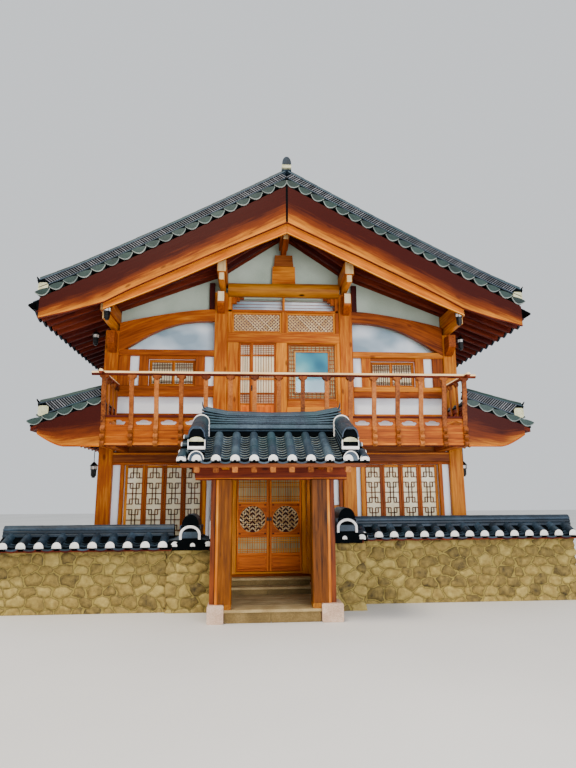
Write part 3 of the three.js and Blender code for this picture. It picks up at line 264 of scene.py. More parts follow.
def strip(xs: Array, low: Array, high: Array, y0: float, y1: float, seed: int = 0,
          parts: int = 1, shade_under_tiles: bool = False) -> Patch:
    """A board in X and Z: ring j is the rectangle at xs[j] between low[j] and high[j].

    Args:
        xs: Stations along X.
        low: Height of the lower edge at each station.
        high: Height of the upper edge at each station.
        y0: One face of the board.
        y1: Its other face.
        seed: Seed of the tones.
        parts: Bands between the two edges, for a surface that is to bend.
        shade_under_tiles: Whether the tone falls from 0.8 at the foot to 0 from two thirds up, as
            painted shade under the tiles.

    Returns:
        The board as a patch.
    """
    near, far = sorted((y0, y1))
    rise = low[:, None] + (high - low)[:, None] * np.linspace(0, 1, parts + 1)
    ring = np.concatenate([at(xs[:, None], near, rise), at(xs[:, None], far, rise)[:, ::-1]], axis=1)
    if xs[-1] < xs[0]:
        ring = ring[:, ::-1]
    middle = (low + high) / 2
    section = ring[..., 1:] - at(0, 0, middle)[:, None, 1:]
    made = skin(ring[None], reached(at(xs, 0, middle))[None], section[None], seed)
    # Painted shade: the board darkens towards its top edge, where the tiles overhang it
    if shade_under_tiles:
        share = (ring[..., 2] - low[:, None]) / np.maximum(high - low, 1e-6)[:, None]
        made.tone = np.clip(0.80 - 1.2 * share, 0, 1).reshape(-1)
    return made


def plate(outline: list[Pair], holes: list[list[Pair]], y0: float, y1: float,
          seed: int = 0) -> Patch:
    """A flat plate in X and Z with openings cut through it.

    Both faces are the triangulated outline, and each edge loop gets a band of quads.

    Args:
        outline: Outer loop of (x, z), counter-clockwise seen from the front.
        holes: Loops of the openings, counter-clockwise too.
        y0: Front face.
        y1: Back face.
        seed: Seed of the tones.

    Returns:
        The plate as a patch.
    """
    loops = [list(outline)] + [list(reversed(hole)) for hole in holes]
    flat = np.array([point for loop in loops for point in loop], float)
    count = len(flat)
    triangles = np.array(tessellate_polygon([[Vector((x, z, 0)) for x, z in loop] for loop in loops]))
    a, b, c = (flat[triangles[:, i]] for i in range(3))
    turn = (b[:, 0] - a[:, 0]) * (c[:, 1] - a[:, 1]) - (b[:, 1] - a[:, 1]) * (c[:, 0] - a[:, 0])
    triangles[turn < 0] = triangles[turn < 0][:, ::-1]
    bands = []
    start = 0
    for loop in loops:
        here = start + np.arange(len(loop))
        after = np.roll(here, -1)
        bands.append(np.stack([here, here + count, after + count, after], axis=-1))
        start += len(loop)
    points = np.concatenate([at(flat[:, 0], y, flat[:, 1]) for y in (y0, y1)])
    random = np.random.default_rng(RANDOM_SEED + seed)
    grain = points[:, [0, 2, 1]] + random.uniform(-9, 9, 3)
    tone = np.full(len(points), random.uniform(0, 1))
    return Patch(points, [triangles, triangles[:, ::-1] + count, np.concatenate(bands)], grain, tone)


def side_plate(outline: list[Pair], x0: float, x1: float, seed: int = 0) -> Patch:
    """A flat plate whose outline of (y, z) runs either way round, thick from x0 to x1.

    Args:
        outline: Loop of (y, z).
        x0: Left edge.
        x1: Right edge.
        seed: Seed of the tones.

    Returns:
        The plate as a patch.
    """
    loop = list(outline)
    area = sum(a[0] * b[1] - b[0] * a[1] for a, b in zip(loop, loop[1:] + loop[:1]))
    flat = plate(loop[::-1] if area < 0 else loop, [], -x1, -x0, seed)
    return Patch(flat.points[:, [1, 0, 2]] * [-1, 1, 1], flat.faces, flat.grain, flat.tone)


def mirrored(patch: Patch, centre: float = 0.0, axis: int = 0) -> Patch:
    """The patch mirrored in the plane where the given axis equals centre, faces turned back.

    Args:
        patch: Patch that is taken.
        centre: Place of the plane on its axis.
        axis: 0, 1 or 2 for X, Y or Z.

    Returns:
        The mirrored patch.
    """
    points = patch.points.copy()
    points[:, axis] = 2 * centre - points[:, axis]
    return Patch(points, [face[:, ::-1] for face in patch.faces], patch.grain + 3.7, patch.tone)


class Piece:
    """Gathers patches of several finishes into one mesh object that rides on a CAD body."""

    def __init__(self, name: str, body: str = "house") -> None:
        """Starts an empty piece with the name of its object and of its CAD body.

        Args:
            name: Name of the object.
            body: CAD body that it rides on.
        """
        self.name = name
        self.body = body
        self.patches: list[tuple[Patch, int]] = []
        self.materials: list[bpy.types.Material] = []

    def add(self, patch: Patch, finish: "Finish", side: Side = Side.RIGHT) -> None:
        """Adds a patch, made for the right half, in a finish on one half.

        Args:
            patch: Patch that is taken.
            finish: Finish that is given.
            side: Half of the house.
        """
        material = finish.material()
        if material not in self.materials:
            self.materials.append(material)
        patch = mirrored(patch) if side is Side.LEFT else patch
        self.patches.append((patch, self.materials.index(material)))

    def blocks(self, rows: list[Box], finish: "Finish", bevel: float = 0.008, seed: int = 0,
               side: Side = Side.RIGHT) -> None:
        """Adds squared blocks, given as boxes for the right half, in a finish on one half."""
        self.add(squared(side.boxes(rows), bevel, seed), finish)

    def build(self, *replaced: str, sharp: float = 32.0) -> None:
        """Makes the mesh object, puts it on its body and takes over CAD nodes.

        Args:
            replaced: CAD nodes that the piece stands for.
            sharp: Angle in degrees past which an edge stays sharp.
        """
        patches = [patch for patch, _ in self.patches]
        starts = np.concatenate([[0], np.cumsum([len(patch.points) for patch in patches])])
        groups = [(faces + start, slot) for (patch, slot), start in zip(self.patches, starts)
                  for faces in patch.faces if len(faces)]
        corners = np.concatenate([faces.reshape(-1) for faces, _ in groups])
        counts = np.concatenate([np.full(len(faces), faces.shape[1]) for faces, _ in groups])
        slots = np.concatenate([np.full(len(faces), slot) for faces, slot in groups])
        mesh = bpy.data.meshes.new(self.name)
        mesh.vertices.add(int(starts[-1]))
        mesh.loops.add(len(corners))
        mesh.polygons.add(len(counts))
        points = np.concatenate([patch.points for patch in patches])
        mesh.vertices.foreach_set("co", points.astype(np.float32).ravel())
        mesh.loops.foreach_set("vertex_index", corners.astype(np.int32))
        first = np.concatenate([[0], np.cumsum(counts)[:-1]])
        mesh.polygons.foreach_set("loop_start", first.astype(np.int32))
        mesh.polygons.foreach_set("material_index", slots.astype(np.int32))
        mesh.polygons.foreach_set("use_smooth", np.ones(len(counts), bool))
        for name, kind, key in (("grain", "FLOAT_VECTOR", "vector"), ("tone", "FLOAT", "value")):
            values = np.concatenate([getattr(patch, name) for patch in patches])
            held = mesh.attributes.new(name, kind, "POINT")
            held.data.foreach_set(key, values.astype(np.float32).ravel())
        for material in self.materials:
            mesh.materials.append(material)
        mesh.update(calc_edges=True)
        mesh.validate()
        mesh.set_sharp_from_angle(angle=math.radians(sharp))
        made = bpy.data.objects.new(self.name, mesh)
        bpy.context.scene.collection.objects.link(made)
        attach(made, self.body)
        if replaced:
            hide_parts(*replaced)
        LOG.info("%s: %d faces on %s", self.name, len(counts), self.body)


def add_node(tree: bpy.types.NodeTree, kind: str, inputs: dict | None = None,
             out: int | str = 0, **settings: object) -> Socket:
    """Adds one shader node and returns one of its outputs.

    Args:
        tree: Tree that gets the node.
        kind: Node type, without its leading ShaderNode.
        inputs: Values or sockets by input name or number.
        out: Output to return.
        settings: Properties to set on the node.

    Returns:
        The output socket.
    """
    made = tree.nodes.new("ShaderNode" + kind)
    for key, value in settings.items():
        setattr(made, key, value)
    for key, value in (inputs or {}).items():
        if isinstance(value, Socket):
            tree.links.new(value, made.inputs[key])
        else:
            made.inputs[key].default_value = value
    return made.outputs[out] if made.outputs else None


class Coordinates(Enum):
    """Where a finish reads its place from, in metres."""

    GRAIN = "grain"
    OBJECT = "object"


@dataclass(frozen=True)
class Finish:
    """A surface finish whose material is made once, when it is first asked for."""

    name: str
    dark: str
    body: str
    light: str

    def material(self) -> bpy.types.Material:
        """Returns the material, and makes it the first time.

        Returns:
            The material of the finish.
        """
        made = bpy.data.materials.get(self.name)
        if made is None:
            made = bpy.data.materials.new(self.name)
            made.use_nodes = True
            made.node_tree.nodes.clear()
            self.dress()
            made.diffuse_color = linear(self.body)
        return made

    def node(self, kind: str, inputs: dict | None = None, out: int | str = 0,
             **settings: object) -> Socket:
        """Adds one node to the finish's own material, as add_node does."""
        tree = bpy.data.materials[self.name].node_tree
        return add_node(tree, kind, inputs, out, **settings)

    def place(self, source: Coordinates = Coordinates.OBJECT,
              stretch: tuple[float, float, float] = (1.0, 1.0, 1.0)) -> Socket:
        """Returns the pattern coordinates times a stretch for each axis.

        Args:
            source: Grain attribute or object coordinates, both in metres.
            stretch: Factor for each axis.

        Returns:
            Vector socket.
        """
        if source is Coordinates.GRAIN:
            base = self.node("Attribute", out="Vector", attribute_name="grain")
        else:
            base = self.node("TexCoord", out="Object")
        return self.node("VectorMath", {0: base, 1: stretch}, operation="MULTIPLY")

    def noise(self, place: Socket, scale: float, detail: float = 3.0,
              roughness: float = 0.6) -> Socket:
        """Cloudy value from 0 to 1, with so many clouds in a metre and finer layers."""
        inputs = {"Vector": place, "Scale": scale, "Detail": detail, "Roughness": roughness}
        return self.node("TexNoise", inputs)

    def weighed(self, *parts: tuple[Socket, float]) -> Socket:
        """Sum of values, each times its weight.

        Args:
            parts: Value sockets with their weights.

        Returns:
            Value socket.
        """
        total = 0.0
        for socket, weight in parts:
            total = self.node("Math", {0: socket, 1: weight, 2: total}, operation="MULTIPLY_ADD")
        return total

    def blended(self, share: Socket, first: object, second: object) -> Socket:
        """Colour between two colours, each a socket or a hex text: the first at share 0."""
        ends = [linear(end) if isinstance(end, str) else end for end in (first, second)]
        return self.node("Mix", {0: share, 6: ends[0], 7: ends[1]}, out=2, data_type="RGBA")

    def coloured(self, share: Socket, steps: tuple[float, float, float]) -> Socket:
        """Runs a share through the three colours, evenly between the given steps.

        Args:
            share: Value that picks the colour.
            steps: Values at which the dark, body and light colours stand.

        Returns:
            Colour socket.
        """
        first = self.node("MapRange", {0: share, 1: steps[0], 2: steps[1]})
        second = self.node("MapRange", {0: share, 1: steps[1], 2: steps[2]})
        return self.blended(second, self.blended(first, self.dark, self.body), self.light)

    def surface(self, colour: Socket, height: Socket | None, rise: float,
                **fixed: object) -> None:
        """Ends the tree in one principled shader.

        Args:
            colour: Base colour.
            height: Height of the fine relief.
            rise: Height of the relief in metres.
            fixed: Values of shader inputs, with _ in place of spaces.
        """
        inputs = {key.replace("_", " "): value for key, value in fixed.items()}
        inputs["Base Color"] = colour
        if height is not None:
            relief = {"Height": height, "Distance": rise, "Strength": 0.8}
            inputs["Normal"] = self.node("Bump", relief)
        self.node("OutputMaterial", {"Surface": self.node("BsdfPrincipled", inputs)})

    def tone(self) -> Socket:
        """Tone attribute of the body, from 0 for dark to 1 for light."""
        return self.node("Attribute", out="Fac", attribute_name="tone")


@dataclass(frozen=True)
class Wood(Finish):
    """Oiled pine: long streaks, broad light and dark bands, knots and a soft shine.

    Real grain is finer than a pixel from the street, so the streaks are drawn 30 to 60 mm wide
    and the knots about 50 mm, which lets a timber read as planed pine.
    """

    source: Coordinates = Coordinates.GRAIN
    roughness: float = 0.5
    shine: float = 0.02
    knots: float = 0.7
    board: float = 0.0
    spread: float = 0.34

    def dress(self) -> None:
        """Streaks and bands pick the colour, knots darken it, and the streaks are the relief."""
        streak = self.noise(self.place(self.source, (0.07, 1.0, 1.0)), 26.0, 3.0, 0.62)
        band = self.noise(self.place(self.source, (0.3, 1.0, 1.0)), 3.5, 2.0)
        tone = self.tone() if self.source is Coordinates.GRAIN else self.boards()
        mixed = self.weighed((streak, 0.55), (band, 0.35), (tone, self.spread))
        # The middle step moves with the spread, so a middling tone always gives the body colour
        middle = 0.43 + self.spread / 2
        steps = (middle - 0.22 - self.spread / 8, middle, middle + 0.20 + self.spread / 8)
        colour = self.coloured(mixed, steps)
        cells = self.place(self.source, (0.45, 1.0, 1.0))
        reach = self.node("TexVoronoi", {"Vector": cells, "Scale": 3.4}, out="Distance")
        knot = self.node("MapRange", {0: reach, 1: 0.05, 2: 0.13, 3: self.knots, 4: 0.0},
                         interpolation_type="SMOOTHSTEP")
        self.surface(self.blended(knot, colour, self.dark), streak, 0.003, Roughness=self.roughness,
                     Specular_IOR_Level=0.12, Coat_Weight=self.shine, Coat_Roughness=0.35)

    def boards(self) -> Socket:
        """One random tone for each board, the boards lying side by side along Y.

        Returns:
            Value socket from 0 to 1.
        """
        apart = self.place(self.source, (0.0, 1.0 / max(self.board, 0.01), 0.0))
        number = self.node("VectorMath", {0: apart}, operation="FLOOR")
        return self.node("TexWhiteNoise", {"Vector": number}, out="Value")


@dataclass(frozen=True)
class Clay(Finish):
    """Fired roof clay: blue-grey with teal and dusty patches, each tile a little different."""

    tint: str = "#24464c"
    roughness: float = 0.5
    grime: float = 0.5
    shine: float = 0.35

    def dress(self) -> None:
        """Patches 0.3 m wide, speckles 25 mm wide and the tone of the tile pick the colour."""
        place = self.place()
        patch = self.noise(place, 3.0)
        speckle = self.noise(place, 38.0, 4.0, 0.7)
        mixed = self.weighed((patch, 0.45), (speckle, self.grime), (self.tone(), 0.22))
        colour = self.coloured(mixed, (0.32, 0.58, 0.92))
        damp = self.noise(place, 1.7, 2.0)
        share = self.node("MapRange", {0: damp, 1: 0.5, 2: 0.66, 3: 0.0, 4: 0.55})
        self.surface(self.blended(share, colour, self.tint), speckle, 0.003,
                     Roughness=self.roughness, Specular_IOR_Level=self.shine)


@dataclass(frozen=True)
class Mineral(Finish):
    """Plaster, mortar, granite or paper: a base colour with cloudy patches and fine grit."""

    patch_scale: float = 1.4
    grit_scale: float = 60.0
    grit: float = 0.4
    rise: float = 0.002
    roughness: float = 0.85

    def dress(self) -> None:
        """Cloudy patches plus grit pick the colour, and the grit is the relief."""
        place = self.place()
        patch = self.noise(place, self.patch_scale, 4.0, 0.5)
        grit = self.noise(place, self.grit_scale, 3.0, 0.7)
        mixed = self.weighed((grit, self.grit), (patch, 1.0 - self.grit))
        self.surface(self.coloured(mixed, (0.3, 0.5, 0.7)), grit, self.rise,
                     Roughness=self.roughness)


@dataclass(frozen=True)
class FieldStone(Finish):
    """Round field stones in mortar: the grain's third axis is the height over the mortar."""

    mortar: str = "#94803c"

    def dress(self) -> None:
        """The stone's tone and patches pick its colour, and low places show the mortar."""
        place = self.place()
        patch = self.noise(place, 9.0, 4.0, 0.65)
        grit = self.noise(place, 55.0, 3.0, 0.7)
        mixed = self.weighed((patch, 0.7), (self.tone(), 0.28))
        stone = self.coloured(mixed, (0.22, 0.48, 0.76))
        grain = self.node("Attribute", out="Vector", attribute_name="grain")
        height = self.node("SeparateXYZ", {0: grain}, out=2)
        # Painted shade: a dark seam lies round each stone, between the mortar and the stone's own
        # face, where shade falls in the crease
        bare = self.node("MapRange", {0: height, 1: 0.10, 2: 0.24, 3: 1.0, 4: 0.0})
        seam_shade = self.node("MapRange", {0: height, 1: 0.20, 2: 0.50, 3: 0.80, 4: 0.0})
        shaded = self.blended(seam_shade, stone, self.dark)
        self.surface(self.blended(bare, shaded, self.mortar), grit, 0.004,
                     Roughness=0.82)


@dataclass(frozen=True)
class Pane(Finish):
    """Window glass in front of a dim room: broad slanting bands of painted sky reflection, and glossy.
    """

    slant: float = 1.3
    roughness: float = 0.08

    def dress(self) -> None:
        """A slanting cloud about 1.2 m long picks the shade of the pane, as a painted reflection of
        the sky.
        """
        place = self.place(stretch=(0.9, 0.0, self.slant))
        cloud = self.noise(place, 1.1, 2.0, 0.5)
        self.surface(self.coloured(cloud, (0.38, 0.5, 0.62)), None, 0.0,
                     Roughness=self.roughness, IOR=1.5, Coat_Weight=0.6, Coat_Roughness=0.03)


@dataclass(frozen=True)
class Iron(Finish):
    """Black painted iron: nearly even, a little dusty."""

    def dress(self) -> None:
        """Fine dust lightens the paint."""
        dust = self.noise(self.place(), 30.0, 4.0)
        self.surface(self.coloured(dust, (0.3, 0.5, 0.75)), dust, 0.001,
                     Roughness=0.42, Metallic=0.6)


# Honey-coloured pine of the posts, beams and boards: warm, bright, with visible knots
HONEY = Wood("honey pine", "#541b00", "#9c4a02", "#d6871e")
# The gate's posts have weathered to a browner tone and show many dark knots
WEATHERED = Wood("weathered pine", "#2e1200", "#804406", "#ae7018", knots=1.0)
# Planed beams in the open light look a little paler and more orange
PALE = Wood("pale pine", "#8a3a02", "#c86e0c", "#eda63c")
# Door leaves are stained redder than the frame round them, and painted brighter as painted light, for
# the gate roof shades them
DOOR_WOOD = Wood("door pine", "#7c2a02", "#d86c10", "#e88f2c", knots=0.3)
# Bargeboards: orange with dark knots, with painted shade that makes them nearly black where the tiles
# shade them
BOARD = Wood("bargeboard pine", "#340600", "#6c2c04", "#c87a1c", knots=0.6, spread=0.95)
# Rafters and soffit boards: deep red-brown
DARK = Wood("red-brown timber", "#22070a", "#4c140c", "#7d3218", roughness=0.6, shine=0.0)
# Balusters and the gate's rafters are stained red-brown
BALUSTER = Wood("baluster wood", "#3a1206", "#94501c", "#bd763a", knots=0.2)
# Sawn beam ends: cream, without oil
END_GRAIN = Wood("sawn end grain", "#b08a55", "#dcbd86", "#f0dcae", knots=0.0, shine=0.0)
# Railing and lattice bars: dark red-brown, thin
LATTICE = Wood("lattice wood", "#4a1c0a", "#8a4214", "#b86a28", knots=0.0)
# Timber in the shade: eave boards, lotus caps, upper king post, head under the balcony
EAVE = Wood("shaded eave wood", "#2a0e04", "#6a3010", "#96541f", knots=0.2)
# Thin bars in front of the bright window paper
THIN_BAR = Wood("thin lattice bars", "#2c1206", "#542a12", "#7d4a22", knots=0.0)
# Light tan bars of the door's round fret
TAN = Wood("tan bars", "#bb8a50", "#e6c084", "#fae2b4", knots=0.0)
# Floor boards 0.12 m wide, each of its own tone
FLOOR = Wood("floor boards", "#7a4518", "#b9772f", "#d79b52", source=Coordinates.OBJECT,
             board=0.12, knots=0.3)
# Fired blue-grey clay of the roofs, slightly teal where it is damp
TILE = Clay("roof tile", "#10181f", "#293947", "#5a6e7a")
# Thin slips on edge in the verge catch the light on their rims
SLIP = Clay("lapped slips", "#26282d", "#56595f", "#93949a", tint="#4a5456")
# Shell-shaped ends along the verges are a dark teal
SHELL = Clay("weathered shell tile", "#0a1211", "#1c302d", "#3b4f4a", tint="#1b3a33")
# Undersides and hollows between tiles, painted near black as their shade
HOLLOW = Clay("tile in shade", "#020304", "#05080a", "#0d1317", tint="#070d0f", roughness=0.9,
              grime=0.4, shine=0.03)
# The walls' coping is darker than the roofs, as are eave tongues and finials
COPING = Clay("coping tile", "#080e14", "#182734", "#40566a", tint="#142f3a")
# Tile rims, paler than the faces of the tiles
RIM = Clay("worn tile rim", "#4a5553", "#7a8480", "#b2b5a8", tint="#667670", roughness=0.7)
# Lime plaster that fills the ends of the cover tiles
LIME = Mineral("lime plaster", "#d6d2ca", "#f3f0ea", "#fdfcf8", grit_scale=30.0, rise=0.004)
# Grey-olive lime between the tiles of a verge
MORTAR = Mineral("roof mortar", "#8f9070", "#b7b691", "#d8d7b8", patch_scale=9.0)
# Smooth white plaster of the walls, and the gable plaster, painted grey-green as the shade of the
# gable
PLASTER = Mineral("wall plaster", "#dde8ee", "#eef5f8", "#fdfefe", patch_scale=0.9, grit=0.25,
                  rise=0.0008)
SHADED_GABLE = Mineral("gable plaster", "#8d9987", "#a8b4a2", "#bfc9b8", patch_scale=0.9, grit=0.25,
                rise=0.0008)
# Ledge behind the transom bars, red-brown with a violet cast
BACKING = Mineral("transom backing", "#4d3030", "#6d4a4a", "#876262", patch_scale=2.0, grit=0.2)
# Hammered pink granite, and the browner stone of the steps with its paler treads: painted shade on the
# risers and painted light on the treads
GRANITE = Mineral("pink granite", "#a07f66", "#c8a78c", "#e6cfba", patch_scale=5.0,
                  grit_scale=70.0, grit=0.6)
STEP_STONE = Mineral("step stone", "#4c3a18", "#715a2c", "#967c4a", patch_scale=3.0,
                     grit_scale=60.0, grit=0.5)
LIT_TREAD = Mineral("step tread", "#83693e", "#a88f5e", "#c4ae80", patch_scale=4.0, grit_scale=70.0,
                grit=0.5)
# Warm window paper, lit from behind
PAPER = Mineral("window paper", "#e6d5a6", "#f7eac2", "#fff7dc", patch_scale=2.5, grit=0.2,
                rise=0.0003)
# Paper of the door leaves, greener and darker than the window paper
DOOR_PAPER = Mineral("door paper", "#8f8a62", "#b0a97c", "#c8c294", patch_scale=2.5, grit=0.2,
                     rise=0.0003)
# Olive-brown field stones in ochre mortar
STONE = FieldStone("field stone", "#33280a", "#8a7336", "#b8a258")
# Clear panes with a painted reflection of a bright sky
GLASS = Pane("pale glass", "#8fa6b4", "#c0d0da", "#eef4f8")
# The tall window has a painted reflection of open sky above and leaves below
SKY_GLASS = Pane("teal glass", "#155e7a", "#3c8c9e", "#7cbcc0", slant=0.7)
# Lanterns, hooks and locks
IRON = Iron("black iron", "#0d0e10", "#0d0e10", "#2b2d30")
@dataclass
class Base:
    """Granite plinth of squared blocks, the steps in front of the door and the gate's stones."""

    half_x: float = 3.95
    half_y: float = 3.80
    top: float = 0.30
    gap: float = 0.0025
    ring: float = 0.36
    step_x: Pair = (-1.11, 0.455)
    step_edges: tuple[float, ...] = (-3.80, -4.01, -4.25, -5.66)
    step_tops: tuple[float, ...] = (0.455, 0.325, 0.20)
    tread: float = 0.045

    def plinth(self) -> None:
        """Rows of blocks round the foot of the house, and a slab inside them."""
        piece = Piece("plinth_blocks")
        wide, deep, ring = self.half_x, self.half_y, self.ring
        rows = [(a, b, edge, edge + ring, 0.0, self.top) for edge in (-deep, deep - ring)
                for a, b in spans(-wide, wide, 8, self.gap)]
        rows += [(edge, edge + ring, a, b, 0.0, self.top) for edge in (-wide, wide - ring)
                 for a, b in spans(-deep + ring, deep - ring, 7, self.gap)]
        piece.blocks(rows, GRANITE, 0.012, 1)
        core = about(0, wide - ring + 0.03) + about(0, deep - ring + 0.03)
        piece.blocks([core + (0.004, self.top - 0.006)], STEP_STONE, 0.01, 2)
        piece.build("plinth")

    def steps(self) -> None:
        """Treads of long slabs over risers of two blocks each."""
        piece = Piece("step_slabs")
        x0, x1 = self.step_x
        middle = x0 + 0.48 * (x1 - x0)
        risers, treads = [], []
        for back, front, top in zip(self.step_edges[:-1], self.step_edges[1:], self.step_tops):
            low = top - self.tread
            risers += [(a, b, front + 0.02, self.step_edges[0], 0.0, low)
                       for a, b in ((x0 + 0.01, middle - self.gap), (middle + self.gap, x1 - 0.01))]
            slabs = 1 if back - front < 0.5 else 4
            treads += [(x0, x1, a, b, low, top) for a, b in spans(front, back, slabs, self.gap)]
        # Risers in the darker step stone and treads in the paler tread stone: painted shade and
        # painted light
        piece.blocks(risers, STEP_STONE, 0.008, 3)
        piece.blocks(treads, LIT_TREAD, 0.008, 4)
        piece.build("door_steps")

    def build(self) -> None:
        """Builds the plinth, the steps and one dressed block under each gate post."""
        self.plinth()
        self.steps()
        for word, ends in (("left", (-1.37, -1.11)), ("right", (0.455, 0.80))):
            piece = Piece(f"gate_stone_{word}")
            piece.blocks([ends + (-5.705, -5.295, 0.0, 0.28)], GRANITE, 0.018, 5)
            piece.build(f"gate_base_{word}")


@dataclass
class TimberFrame:
    """Posts, rails, arched beams and bracket arms of the four walls."""

    half_width: float = 3.735
    half_depth: float = 3.60
    post: float = 0.28
    foot: float = 0.3003
    post_top: float = 5.3877
    centre_top: float = 6.2767
    face: float = -3.58
    back_face: float = -3.48
    deep: float = -3.32
    levels: tuple[Pair, ...] = ((0.3003, 0.46), (2.65, 2.86), (3.15, 3.26), (4.00, 4.13),
                                (4.87, 5.00))
    # Edges of the arched beams, from the centre post outwards, and side view of a bracket arm
    arch_low: tuple[Pair, ...] = ((1.47, 5.640), (1.80, 5.625), (2.20, 5.560), (2.64, 5.410),
                                  (2.95, 5.250), (3.22, 5.060), (3.455, 4.930))
    arch_high: tuple[Pair, ...] = ((1.47, 5.895), (2.11, 5.835), (2.69, 5.735), (3.10, 5.650),
                                   (3.455, 5.560))
    arm_side: tuple[Pair, ...] = (
        (-3.59, -0.40), (-3.68, -0.385), (-3.75, -0.35), (-3.79, -0.325), (-3.84, -0.29),
        (-3.88, -0.265), (-3.896, -0.23), (-3.896, 0.0), (-3.59, 0.0))

    @property
    def inner(self) -> float:
        """Distance of a corner post's inner face from the middle of the house."""
        return self.half_width - self.post

    def arm(self, x: float, top: float, seed: int) -> Patch:
        """Bracket arm out of a post: its side view in Y and Z, thick along X.

        Args:
            x: Place along X.
            top: Height of the top.
            seed: Seed of the tones.

        Returns:
            The arm as a patch.
        """
        flat = plate(list(self.arm_side), [], -0.075, 0.075, seed)
        points = flat.points[:, [1, 0, 2]] + [x, 0, top]
        return Patch(points, [face[:, ::-1] for face in flat.faces], flat.grain, flat.tone)

    def arch(self, side: Side) -> Patch:
        """Arched beam between two curves, each a polynomial of degree four fitted to its rows.

        Args:
            side: Half of the house.

        Returns:
            The beam as a patch.
        """
        xs = np.linspace(1.47, 3.455, 25)
        edges = []
        for rows in (self.arch_low, self.arch_high):
            keys, values = np.array(rows).T
            middle = (keys[0] + keys[-1]) / 2
            edges.append(np.polyval(np.polyfit(keys - middle, values, 4), xs - middle))
        return strip(side.value * xs, *edges, -3.60, self.back_face, 11 + side.value)

    def lower_front(self) -> None:
        """Corner posts over both storeys, centre posts, sill, head and the ground window frames."""
        piece = Piece("front_timbers_lower")
        back, depth = self.back_face, self.half_depth
        wide = about(0, self.inner) + (self.face, back)
        rows = [(self.inner, self.half_width, -depth, -depth + self.post, self.foot, self.post_top),
                (1.20, 1.48, -depth, back, self.foot, 2.86), (1.58, 1.66, -3.56, back, 0.46, 2.65),
                (3.22, 3.30, -3.56, back, 0.46, 2.65), (1.48, 3.46, -3.56, back, 0.86, 0.95),
                (1.48, 3.46, -3.565, back, 2.60, 2.65)]
        piece.blocks(both_sides(rows) + [wide + (0.3003, 0.46)], HONEY, 0.012, 20)
        piece.blocks([(0.45, 0.53, -3.56, back, 0.46, 2.65), (1.12, 1.20, -3.56, back, 0.46, 2.65),
                      (0.53, 1.12, -3.545, back, 1.665, 1.783),
                      (0.53, 1.12, -3.545, back, 0.46, 0.56)], HONEY, 0.008, 21)
        for x in (-3.56, 3.56):
            piece.add(self.arm(x, 5.31, 22), HONEY)
        # The head under the balcony is in the shaded eave wood as painted shade, with a thin pale line
        # on it
        piece.blocks([wide + (2.65, 2.86)], EAVE, 0.012, 23)
        piece.blocks([wide[:2] + (-3.583, -3.578, 2.808, 2.828)], PALE, 0.0, 24)
        piece.build("lower_frame_front")

    def upper_front(self) -> None:
        """Centre posts, rails, arched beams, window jambs and the timbers of the middle bay."""
        piece = Piece("front_timbers_upper")
        face, back, deep, edge = self.face, self.back_face, self.deep, self.inner
        rows = [(1.20, 1.48, -self.half_depth, back, 3.15, self.centre_top)]
        rows += [(1.48, edge, near, back, *z) for near, z in (
            (face, (3.15, 3.26)), (-3.55, (3.55, 3.65)), (face, (4.00, 4.13)),
            (-3.55, (4.13, 4.235)), (face, (4.87, 5.00)))]
        rows += [(*x, -3.55, back, 4.235, 4.87) for x in ((1.67, 1.865), (2.835, 3.03), (3.22, edge))]
        rows += [(1.865, 2.835, -3.54, back, 4.805, 4.87), (1.11, 1.20, face, deep, 5.39, 6.19)]
        bay = [(-1.20, 0.06, face, deep, 3.15, 3.23), (0.06, 1.20, face, back, 3.15, 3.23),
               (-1.20, -0.96, face, deep, 3.15, 5.40), (-0.17, 0.06, face, deep, 3.15, 5.40),
               (1.13, 1.20, face, deep, 3.65, 5.40), (1.13, 1.20, face, back, 3.15, 3.65),
               (0.06, 1.13, face, deep, 3.65, 3.79), (-1.20, 1.20, face - 0.004, deep, 5.17, 5.40),
               (-1.20, 1.20, face, deep, 5.85, 5.91), (-0.05, 0.05, face, deep, 5.39, 5.86),
               (-0.022, 0.022, face + 0.03, deep, 5.90, 6.20)]
        piece.blocks(both_sides(rows), HONEY, 0.010, 30)
        piece.blocks(bay, HONEY, 0.008, 31)
        for side in Side:
            piece.add(self.arch(side), HONEY)
            piece.add(self.arm(side.value * 1.34, 6.20, 32), HONEY)
            piece.blocks([(1.275, 1.405, -3.90, -3.893, 5.98, 6.19)], END_GRAIN, 0.002, 34, side)
            # Dark red board beside the centre post
            piece.blocks([(1.485, 1.60, -3.57, back, 5.92, 6.50)], DARK, 0.006, 33, side)
        piece.build("upper_frame_front")

    def back(self) -> None:
        """Posts and rails of the back wall."""
        piece = Piece("back_timbers")
        depth, wall = self.half_depth, self.half_depth - 0.12
        rows = both_sides([
            (self.inner, self.half_width, depth - self.post, depth, self.foot, self.post_top),
            (1.20, 1.48, wall, depth, self.foot, self.centre_top)])
        rows += [(*x, wall, depth - 0.02, *z)
                 for z in self.levels + ((self.post_top - 0.2, self.post_top),)
                 for x in ((-self.inner, -1.48), (-1.20, 1.20), (1.48, self.inner))]
        piece.blocks(rows, HONEY, 0.012, 40)
        piece.build("back_frame")

    def flank(self, side: Side) -> None:
        """Posts and rails of a side wall.

        Args:
            side: Half of the house.
        """
        piece = Piece(f"side_timbers_{side.word}")
        inner, outer, reach = self.half_width - 0.12, self.half_width, self.half_depth - self.post
        rows = [(inner, outer, *about(y, 0.14), self.foot, self.post_top) for y in (-1.2, 1.2)]
        rows += [(inner, outer - 0.02, *y, *z) for z in self.levels
                 for y in ((-reach, -1.34), (-1.06, 1.06), (1.34, reach))]
        piece.blocks(rows, HONEY, 0.012, 50 + side.value, side)
        piece.build(f"{side.word}_frame")

    def build(self) -> None:
        """Builds the frames of all four walls."""
        self.lower_front()
        self.upper_front()
        self.back()
        for side in Side:
            self.flank(side)


